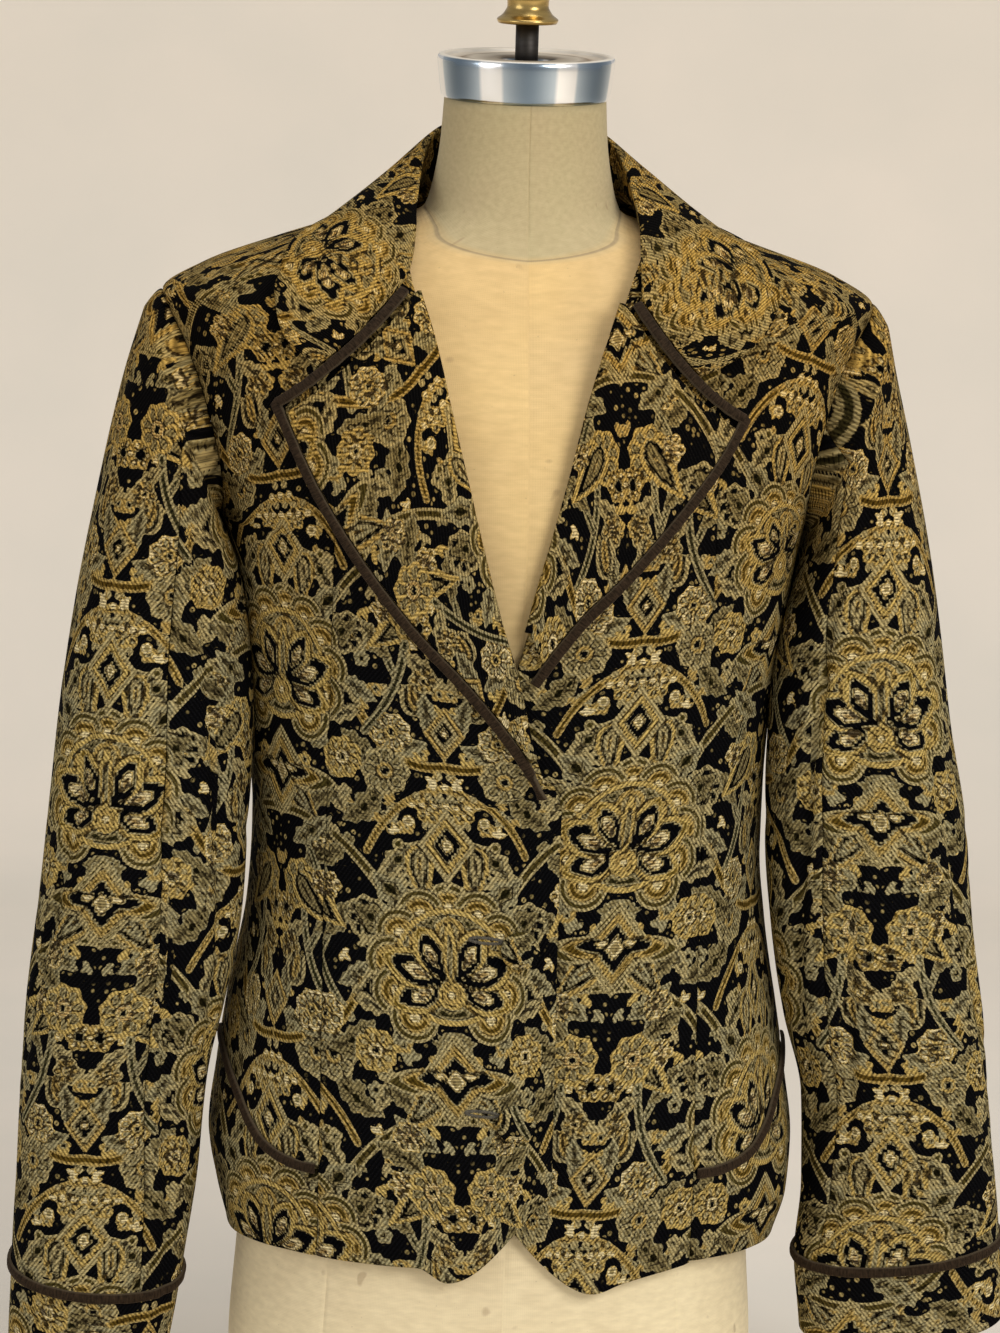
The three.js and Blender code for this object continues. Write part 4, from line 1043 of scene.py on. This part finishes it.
def cap_material():
    """Spun steel cap whose side is coloured with painted reflections like those of windows, and an aged top.
    """
    gloss, outer = 0.22, 0.05
    n = Nodes("steel", gloss, metallic=1.0)
    place = n.place()
    x, y = n.axis(place, 0), n.axis(place, 1)
    angle = n.math("ARCTAN2", x, n.product(y, -1.0))
    # The side's colour is painted reflection: uneven stripes round the cap, from dark blue to white, stand in
    # for mirrored windows.
    uneven = n.noise(n.turned(place, 0, (1, 1, 0.2)), 26.0, 2.0)
    painted_reflection_stripes = n.math("COSINE", n.math("MULTIPLY_ADD", n.math("MULTIPLY_ADD", uneven, 0.22, angle), 7.0, 2.6))
    painted_reflections = n.ramp(n.math("MULTIPLY_ADD", painted_reflection_stripes, 0.5, 0.5), [
        (0.0, (0.22, 0.29, 0.37)), (0.55, (0.42, 0.50, 0.58)), (0.74, (0.52, 0.60, 0.68)),
        (0.86, (1.0, 1.0, 1.0))])
    radius = n.math("SQRT", n.math("ADD", n.product(x, x), n.product(y, y)))
    worn = n.math("MULTIPLY_ADD", n.noise(place, 60.0, 3.0), 0.16, n.math("DIVIDE", radius, outer))
    top = n.ramp(n.math("ADD", worn, -0.08), [
        (0.26, (0.03, 0.024, 0.02)), (0.34, (0.30, 0.24, 0.17)), (0.6, (0.52, 0.45, 0.35)),
        (0.72, (0.22, 0.15, 0.09)), (0.8, (0.50, 0.42, 0.32)), (1.0, (0.74, 0.68, 0.58))])
    upward = n.rise(n.axis(n.add("ShaderNodeNewGeometry").outputs["Normal"], 2), 0.45, 0.8)
    n.put(n.shader.inputs["Metallic"], n.math("MULTIPLY_ADD", upward, -0.8, 1.0))
    n.put(n.shader.inputs["Roughness"], n.math("MULTIPLY_ADD", upward, 0.4, gloss))
    return n.done(n.mix(upward, painted_reflections, top))


def thread_material():
    n = Nodes("buttonhole_thread", 0.8, sheen=0.1)
    patchy = n.noise(n.place(), 900.0)
    return n.done(n.ramp(patchy, [(0.3, (0.030, 0.026, 0.020)), (0.7, (0.10, 0.085, 0.055))]))


TAPESTRY = tapestry_material()
VELVET = velvet_material()
LINEN = linen_material()
STEEL = cap_material()
BRASS = metal_material("brass", (0.56, 0.39, 0.14), (0.26, 0.17, 0.06), 0.24)
IRON = metal_material("iron", (0.06, 0.055, 0.05), (0.035, 0.03, 0.028), 0.5)
STITCHES = thread_material()


# Relief of the cloth


def ripple(x, z):
    """Slight unevenness of hanging cloth."""
    wide = 0.30 * np.sin(x / 17 + 1.3 * np.sin(z / 41))
    high = 0.26 * np.sin(z / 23 + 0.9 * np.sin(x / 33 + 1))
    return wide + high + 0.12 * np.sin(x / 7.3 + z / 9.1)


def creased(creases, x, z, side, per_x, per_z):
    """Depth of creases given as place, slant, length, width and depth; the left side's are moved a little."""
    depth = 0
    for k, (x0, z0, slant, length, width, deep) in enumerate(creases):
        if side == "left":
            x0 = x0 + 4 * math.sin(5 * k)
            z0 = z0 + per_z * 12 * math.cos(3 * k)
            slant = slant + 9 * math.sin(2 * k)
        dx, dz = (x - x0) * per_x, (z - z0) / per_z
        c, s = math.cos(math.radians(slant)), math.sin(math.radians(slant))
        along, across = dx * c + dz * s, dz * c - dx * s
        bowed = across - 0.004 * along * along * (1 if k % 2 else -1)
        depth = depth + deep * bell(along / length) * bell(bowed / width)
    return -depth


def off_armhole(turn, z):
    """0 at the edge of the armhole and 1 away from it."""
    middle, half = (SHOULDER_TIP + UNDERARM) / 2, (SHOULDER_TIP - UNDERARM) / 2
    return smooth(np.hypot((turn - 90) / ARMHOLE_FRONT, (z - middle) / half), 1.03, 1.4)


MM_PER_TURN = 2.5  # rough length of one degree round the body


def body_relief(side):
    def relief(turn, z):
        waves = creased(BODY_CREASES, turn, z, side, MM_PER_TURN, 1)
        waves = waves + ripple(SIDES[side] * turn * MM_PER_TURN, z)
        below_arm = 1 - smooth(z, UNDERARM - 20, UNDERARM)
        side_seam = SEAM_SINK * bell((turn - 90) * 2.8 / SEAM_REACH) * below_arm
        return waves * off_armhole(turn, z) - side_seam
    return relief


def front_relief(side):
    relief = body_relief(side)
    return lambda own, z: relief(turn_at(side, own, z), z)


def sleeve_relief(side):
    def relief(loop, ring):
        around = np.mod(loop, 360)
        off_seam = np.minimum(1, np.minimum(around, 360 - around) / 20 + 0.3)
        creases = creased(SLEEVE_CREASES, around, ring, side, 0.9, 1 / 52)
        wave = ripple(around * 0.9 + 3 * SIDES[side], ring * 50) * off_seam
        return (creases + wave) * smooth(ring, 0, 0.6)
    return relief


def lapel_relief(q, s):
    return 0.5 * ripple(q * 70, s * 240)


def collar_relief(s, w):
    return 0.5 * ripple(s * 220, w * 90)


# Pieces of the jacket

PALMETTE = {"right": (44, 309), "left": (67, 384)}  # centre of one palmette on each front
SLEEVE_PALMETTE = {"right": 398, "left": 452}  # height of one on each sleeve
FRONT_STEPS = (1, 1)
BODY_STEPS = (0.5, 1)
SLEEVE_STEPS = (1, 0.02)
LAPEL_STEPS = (0.02, 0.01)
COLLAR_STEPS = (0.01, 0.01)
LAP_TOP = 400
SHOULDER_LINE = 711
SIDE_HEM = 139


def at_palmette(side, own, z):
    return own - PALMETTE[side][0], z - PALMETTE[side][1]


def body_surface(side):
    return lambda turn, z: body_point(side, turn, z)


def sleeve_surface(side):
    return lambda loop, ring: sleeve_point(side, loop, ring)


def lapel_surface(side):
    return lambda q, s: lapel_point(side, q, s)


def centre_front(side):
    def places(u, v):
        z = mix(HEM_SIDE, NECK_TOP, v)
        edge = FOLD.read(z, side) + np.where(z > LAP_TOP, FOLD_RADIUS + 0.6, 0)
        seam = np.where(z > SHOULDER_LINE, BODY.read(z, side) * 0.99, princess_at(side, z) - SEAM_HALF)
        own = mix(edge, seam, u)
        return own, z + hem_share(z) * (HEM[side].read(own, "z") - HEM_SIDE)

    def surface(own, z):
        return front_point(side, own, z, -underlap(side, own))

    return cloth(f"centre_front_{side}", places, surface, FRONT_STEPS, -SIDES[side], (132, 600),
                 lambda a, b, row, column: at_palmette(side, a[:, :1], b[:1]), front_relief(side), seams="r",
                 rests=["form_torso"], trims=[f"edge_piping_{side}"])


def body_piece(name, side, places, size, origin, seams, **more):
    return cloth(f"{name}_{side}", places, body_surface(side), BODY_STEPS, -SIDES[side], size, origin,
                 body_relief(side), seams=seams, rests=["form_torso"], **more)


def beside_front(side):
    return lambda a, b, row, column: at_palmette(side, PRINCESS + 8, b[:1])


def side_front(side):
    def places(u, v):
        split = 0.69
        base = pocket_height(side, u) + SEAM
        upper = mix(UNDERARM, SHOULDER_LINE, (v - split) / (1 - split))
        z = np.where(v < split, mix(base, UNDERARM, v / split), upper)
        edge = np.where(z > UNDERARM, armhole_turn(z, False), 90) - SEAM_TURN
        return side_turn(side, u, z, edge), z

    return body_piece("side_front", side, places, (112, 520), beside_front(side), "lb")


def hip_front(side):
    def places(u, v):
        hem = mix(SIDE_HEM, HEM_SIDE, smooth(side_turn(side, u, SIDE_HEM + 1, 90), 40, 90))
        z = mix(hem, pocket_height(side, u), v)
        return side_turn(side, u, z, 90 - SEAM_TURN), z

    return body_piece("hip_front", side, places, (120, 90), beside_front(side), "lt",
                      trims=[f"pocket_piping_{side}"])


def back(side):
    def places(u, v):
        z = mix(HEM_SIDE, NECK_TOP, v)
        edge = np.where((z > UNDERARM) & (z < SHOULDER_TIP), armhole_turn(z, True), 90)
        turn = mix(180 - SEAM_TURN, edge + SEAM_TURN, u)
        hem = mix(HEM_SIDE, HEM_BACK, smooth(turn, 90, 150))
        return turn, z + hem_share(z) * (hem - HEM_SIDE)

    return body_piece("back", side, places, (214, 610), lambda a, b, row, column: (-4, b[:1] - 420), "l",
                      grid=HIDDEN_GRID)


def sleeve_piece(name, side, start, end, wide, start_u):
    def places(u, v):
        ring = (CUFF_RING - RING_GAP) * (0.13 * v ** 0.6 + 0.87 * v)
        loop = mix(start, end, u)
        return loop + seam_shift(side, ring, loop), ring

    return cloth(f"{name}_{side}", places, sleeve_surface(side), SLEEVE_STEPS, -SIDES[side], (wide, 560),
                 lambda a, b, row, column: (start_u, -SLEEVE_PALMETTE[side]), sleeve_relief(side), seams="lr",
                 grid=GRID if name == "top_sleeve" else HIDDEN_GRID, upright=True,
                 held="hung", rests=[f"side_front_{side}", f"back_{side}"])


def cuff(side):
    def places(u, v):
        loop = 360 * u
        ring = mix(CUFF_RING + RING_GAP, SLEEVE_END, v)
        return loop + seam_shift(side, CUFF_RING, loop), ring

    return cloth(f"cuff_{side}", places, sleeve_surface(side), SLEEVE_STEPS, -SIDES[side], (260, 55),
                 lambda a, b, row, column: (8, 60 * SIDES[side]), sleeve_relief(side), ring=True, seams="b",
                 held="hung", rests=[f"top_sleeve_{side}"], trims=[f"cuff_piping_{side}"])


def lapel(side):
    low, high = LAPEL_FOLD_HEIGHTS[side]
    top = 1 - (TRIM_WIDTH + SEAM) / (high - low)

    def places(u, v):
        s = mix(LAPEL_START[side], top, v)
        roll = 0.1
        end = inside_edge(side, s, TRIM_WIDTH + 2 * SEAM)
        return np.where(u < roll, u / roll - 1, end * (u - roll) / (1 - roll)), s

    return cloth(f"lapel_{side}", places, lapel_surface(side), LAPEL_STEPS, -SIDES[side], (84, high - low),
                 lambda a, b, row, column: (30 + SIDES[side] * 6, 20 - 50 * SIDES[side]), lapel_relief,
                 turn=-SIDES[side] * 0.5, held="folded", rests=[f"centre_front_{side}"])


def collar():
    return cloth("collar", lambda u, v: (mix(-1, 1, u), v), collar_point, COLLAR_STEPS, -1, (470, 92),
                 lambda a, b, row, column: (-row[:, -1:] / 2, 60 - 2 * column), collar_relief,
                 held="folded", rests=["centre_front_right", "centre_front_left", "form_torso"])


# Velvet pipings, buttons and buttonholes


def strip(name, points, outward, ring=False, height=TRIM_HEIGHT):
    """Velvet piping with a low rounded top, swept along points with their outward normals."""
    half = TRIM_WIDTH / 2
    profile = [(math.cos(a) * abs(math.cos(a)) ** -0.35 * half, math.sin(a) ** 0.8 * height)
               for a in np.linspace(math.pi - 0.02, 0.02, 9)]
    profile = [(-half, 0)] + profile + [(half, 0)]
    beside = beside_line(points, outward, ring)
    step = np.arange(len(points))
    uneven = (1 + 0.05 * np.sin(step * 0.9) * np.sin(step * 0.23))[:, None]
    rings = np.stack([points + beside * x * uneven + outward * h for x, h in profile], axis=1)
    run = np.concatenate([[0], np.cumsum(np.linalg.norm(np.diff(points, axis=0), axis=-1))])
    flat = join(np.array([x for x, _ in profile])[None, :], run[:, None], 0)[..., :2].reshape(-1, 2)
    ids = ring_ids(rings, ring)
    faces = grid_faces(ids, True, ring=True)
    if not ring:
        faces += [ids[0].tolist(), ids[-1, ::-1].tolist()]
    return piece(name, rings.reshape(-1, 3), faces, VELVET, flat, name)


def raised(surface, a, b, steps, side, relief, gap):
    """Points on the cloth, moved out with it by its relief and a small gap, and its normals."""
    outward = normals(surface, a, b, steps) * SIDES[side]
    return surface(a, b) + outward * (relief(a, b) + gap)[..., None], outward


def on_right_front(own, z, gap):
    return raised(lambda a, b: front_point("right", a, b), own, z, FRONT_STEPS, "right",
                  front_relief("right"), gap)


def edge_piping(side):
    def beside(s):
        return inside_edge(side, np.minimum(s, 0.99), TRIM_WIDTH / 2)

    along = np.linspace(0, 0.985, 170)
    gorge = np.linspace(float(beside(1.0)), 0.06, 60)
    q = np.concatenate([beside(along), gorge])
    s = np.concatenate([along, np.ones(60)])
    points, outward = raised(lapel_surface(side), q, s, LAPEL_STEPS, side, lapel_relief, -1.2)
    return strip(f"edge_piping_{side}", points, outward, height=TRIM_HEIGHT + 0.4)


def pocket_piping(side):
    u = np.linspace(0.01, 0.98, 70)
    z = pocket_height(side, u)
    turn = side_turn(side, u, z, 90)
    points, outward = raised(body_surface(side), turn, z, BODY_STEPS, side, body_relief(side), SEAM)
    return strip(f"pocket_piping_{side}", points, outward)


def cuff_piping(side):
    loop = np.linspace(0, 360, 160, endpoint=False)
    loop = loop + seam_shift(side, CUFF_RING, loop)
    ring = np.full_like(loop, CUFF_RING)
    points, outward = raised(sleeve_surface(side), loop, ring, SLEEVE_STEPS, side, sleeve_relief(side), SEAM)
    return strip(f"cuff_piping_{side}", points, outward, ring=True)


def capped(rings, low, high):
    """Points and faces of rings one above the other, closed by fans round a lowest and a highest point."""
    ids = ring_ids(rings, False)
    after = np.roll(ids, -1, axis=1)
    faces = grid_faces(ids, False, ring=True)
    faces += [(ids.size, int(b), int(a)) for a, b in zip(ids[0], after[0])]
    faces += [(ids.size + 1, int(a), int(b)) for a, b in zip(ids[-1], after[-1])]
    return np.concatenate([rings.reshape(-1, 3), [low, high]]), faces


def turned(profile, segments):
    """Points and faces of a solid of revolution round +Z, from the bottom axis to the top axis."""
    angles = np.linspace(0, 2 * math.pi, segments, endpoint=False)
    rings = np.stack([join(r * np.cos(angles), r * np.sin(angles), z) for r, z in profile[1:-1]])
    return capped(rings, (0, 0, profile[0][1]), (0, 0, profile[-1][1]))


def rounded(profile, steps=4, cut=0.3):
    """Profile with its corners cut into short curves."""
    line = [profile[0], profile[1]]
    for before, at, after in zip(profile[1:-2], profile[2:-1], profile[3:]):
        a, b = ([at[i] + (end[i] - at[i]) * cut for i in range(2)] for end in (before, after))
        line += [tuple(point) for point in curve(a, at, b, steps + 1)]
    return line + [profile[-1]]


def button(name, z):
    rim = BUTTON_RADIUS
    profile = [(0, 0), (8.5, 0), (rim, 2.2), (rim - 0.6, 4.0), (rim - 3.5, 6.0), (rim - 7, 7.0), (0, 7.0)]
    points, faces = turned(rounded(profile), 40)
    flat = points[:, :2] * 1.15 + np.array([30, z - 70])
    seat, outward = on_right_front(np.array(float(BUTTON_OWN)), np.array(float(z)), 0.7)
    spin = np.array(Vector((0, 0, 1)).rotation_difference(Vector(outward)).to_matrix())
    return piece(name, points @ spin.T + seat, faces, TAPESTRY, flat, name)


def buttonhole(name, z):
    """Worked buttonhole: a thin oval of thread lying on the upper front."""
    count, middle = 48, 16
    around = np.linspace(0, 2 * math.pi, count, endpoint=False)
    own = middle + 9.2 * np.cos(around)
    height = z + 5 + 1.5 * np.sin(around) + 0.07 * (own - middle)
    points, outward = on_right_front(own, height, 0.15)
    beside = beside_line(points, outward, True)
    knots = (1 + 0.22 * np.where(np.arange(count) % 2, 1, -1))[:, None]
    rings = np.stack([points + (beside * math.cos(t) * 0.85 + outward * math.sin(t) * 0.55) * knots
                      for t in np.linspace(0, 2 * math.pi, 8, endpoint=False)], axis=1)
    faces = grid_faces(ring_ids(rings, True), False, ring=True)
    return piece(name, rings.reshape(-1, 3), faces, STITCHES)


# Dress form

FORM_SEAMS = [0, 40, 90, 142, 180, 218, 270, 320]
FORM_TOP = 784


def form_torso():
    near = (-1.2, -0.5, -0.2, 0, 0.2, 0.5, 1.2)
    beside_seams = [[t + d for d in near] for t in FORM_SEAMS]
    turn = np.unique(np.mod(np.concatenate([np.arange(0, 360, 2.5)] + beside_seams), 360))
    beside_neck = NECK_SEAM + np.linspace(-3, 3, 9)
    z = np.unique(np.concatenate([np.linspace(1.5, FORM_TOP, 150), [0, 0.4, 1.0], beside_neck]))
    turn, level = np.meshgrid(turn, z)
    s, c = np.sin(radians(turn)), np.cos(radians(turn))
    rise = NECK_RISE * np.where(c > 0, np.abs(s) ** 1.2, 1 - 0.4 * c)
    z = level + rise * bell((level - NECK_SEAM) / 36)
    round_share = mix(ROUND, 1, smooth(z, 700, 735))
    deep = np.where(c > 0, FORM.read(z, "front"), FORM.read(z, "back"))
    half = FORM.read(z, "half")
    below = 1 - smooth(level, NECK_SEAM - 1, NECK_SEAM)
    seam = 1.6 * bell((level - NECK_SEAM) / 0.8)
    for t in FORM_SEAMS:
        apart = np.mod(turn - t + 180, 360) - 180
        seam = seam + bell(apart * 2.4 / 0.9) * (1 if t in (0, 180) else below)
    inset = 0.45 * np.clip(seam, 0, 1.6) + 1.2 * bell(z)
    x = (half - inset) * signed_power(s, round_share)
    y = -(deep - inset) * signed_power(c, round_share)
    points, faces = capped(join(x, y, z), (0, 0, 0), (0, 0, FORM_TOP))
    flat = np.concatenate([join(turn.ravel() * 2.4, level.ravel(), 0)[:, :2], [(0, 0)], [(0, FORM_TOP)]])
    piece("form_torso", points, faces, LINEN, flat, "form_torso")


def fittings():
    cap = [(0, 784.3), (46, 784.3), (47.5, 786), (50, 806), (49, 808.5), (45.5, 808.5), (43, 806),
           (38, 805.6), (34, 807), (26, 806.2), (18, 807), (14, 805), (14, 796), (0, 796)]
    rod = [(0, 796.3), (6.5, 796.3), (6.5, 826), (0, 826)]
    finial = [(0, 826.3), (16.5, 826.3), (17.5, 828.5), (14, 831), (11.5, 835), (11.8, 840), (17, 846),
              (21, 854), (21.5, 861), (18.5, 869), (12, 875), (5, 878), (0, 878.5)]
    for name, profile, segments, material, slot in (
            ("form_cap", rounded(cap, 3), 96, STEEL, "steel"), ("form_rod", rod, 32, IRON, "iron"),
            ("form_finial", rounded(finial, 3), 64, BRASS, "brass")):
        points, faces = turned(profile, segments)
        piece(name, points, faces, material, None, name)


# Assembly

form_torso()
fittings()
collar()
for side in SIDES:
    for make in (edge_piping, pocket_piping, cuff_piping, centre_front, side_front, hip_front, back):
        make(side)
    sleeve_piece("top_sleeve", side, FRONT_SEAM - SLEEVE_SEAM, BACK_SEAM + SLEEVE_SEAM, 172, -34)
    sleeve_piece("under_sleeve", side, FRONT_SEAM + SLEEVE_SEAM, BACK_SEAM + 360 - SLEEVE_SEAM, 136, 40)
    cuff(side)
    lapel(side)
for name, z in BUTTONS.items():
    button(name, z)
    buttonhole(name.replace("button", "buttonhole"), z)


# Stage, light and camera

PHOTO_WIDE, PHOTO_HIGH = 1000, 1333
MM_PER_PIXEL = 0.57
DISTANCE = 3600
YAW, ELEVATION, ROLL = math.radians(4), math.radians(10.5), math.radians(1.7)
AIM = 460
AIM_PIXEL = 508.3
SENSOR = 36


def stage():
    """Floor that curves up into a low wall, so that a view from behind looks over it."""
    half, front, bend_start, bend, top = 5.0, -5.0, 1.4, 0.6, 0.76
    arc = np.linspace(0, math.pi / 2, 40)
    line = [(front, 0.0)] + [(bend_start + bend * math.sin(a), bend - bend * math.cos(a)) for a in arc]
    line.append((bend_start + bend, top))
    count = len(line)
    mesh = bpy.data.meshes.new("backdrop")
    mesh.from_pydata([(x, y, z) for x in (-half, half) for y, z in line], [],
                     [(k, k + count, k + count + 1, k + 1) for k in range(count - 1)])
    mesh.polygons.foreach_set("use_smooth", [True] * (count - 1))
    n = Nodes("paper", 0.95, specular=0.1)
    clouds = n.rise(n.noise(n.place(), 5.0, 6.0), 0.35, 0.7)
    mesh.materials.append(n.done(n.mix(clouds, (0.79, 0.73, 0.64), (0.85, 0.77, 0.67))))
    new_object("backdrop", mesh)


def area_light(name, place, target, size, power, color=(1, 1, 1)):
    data = bpy.data.lights.new(name, "AREA")
    data.shape = "DISK"
    data.size = size
    data.energy = power
    data.color = color
    obj = new_object(name, data)
    obj.location = place
    obj.rotation_euler = (Vector(target) - Vector(place)).to_track_quat("-Z", "Y").to_euler()


def camera():
    level_part = math.cos(ELEVATION)
    forward = Vector((math.sin(YAW) * level_part, math.cos(YAW) * level_part, -math.sin(ELEVATION)))
    level = Vector((math.cos(YAW), -math.sin(YAW), 0))
    upright = level.cross(forward)
    right = math.cos(ROLL) * level + math.sin(ROLL) * upright
    up = right.cross(forward)
    target = Vector((0, 0, AIM)) + right * (PHOTO_WIDE / 2 - AIM_PIXEL) * MM_PER_PIXEL
    data = bpy.data.cameras.new("camera")
    data.sensor_fit = "VERTICAL"
    data.sensor_height = SENSOR
    data.lens = SENSOR * DISTANCE / MM_PER_PIXEL / PHOTO_HIGH
    data.clip_end = 50
    obj = new_object("camera", data)
    turn = Matrix((right, up, -forward)).transposed().to_4x4()
    obj.matrix_world = Matrix.Translation((target - forward * DISTANCE) * MM) @ turn
    bpy.context.scene.camera = obj


stage()
area_light("key", (1.8, -2.6, 2.0), (0, 0, 0.42), 1.7, 64, (1.0, 0.98, 0.95))
area_light("fill", (-2.5, -1.7, 1.3), (0, 0, 0.4), 2.0, 18, (0.97, 0.98, 1.0))
area_light("top", (0.2, -0.2, 2.9), (0, 0, 0.5), 1.6, 20)
world = bpy.data.worlds.new("world")
world.use_nodes = True
sky = world.node_tree.nodes["Background"].inputs
sky["Color"].default_value = (0.96, 0.94, 0.91, 1)
sky["Strength"].default_value = 0.45
bpy.context.scene.world = world
bpy.context.scene.view_settings.view_transform = "Standard"
camera()
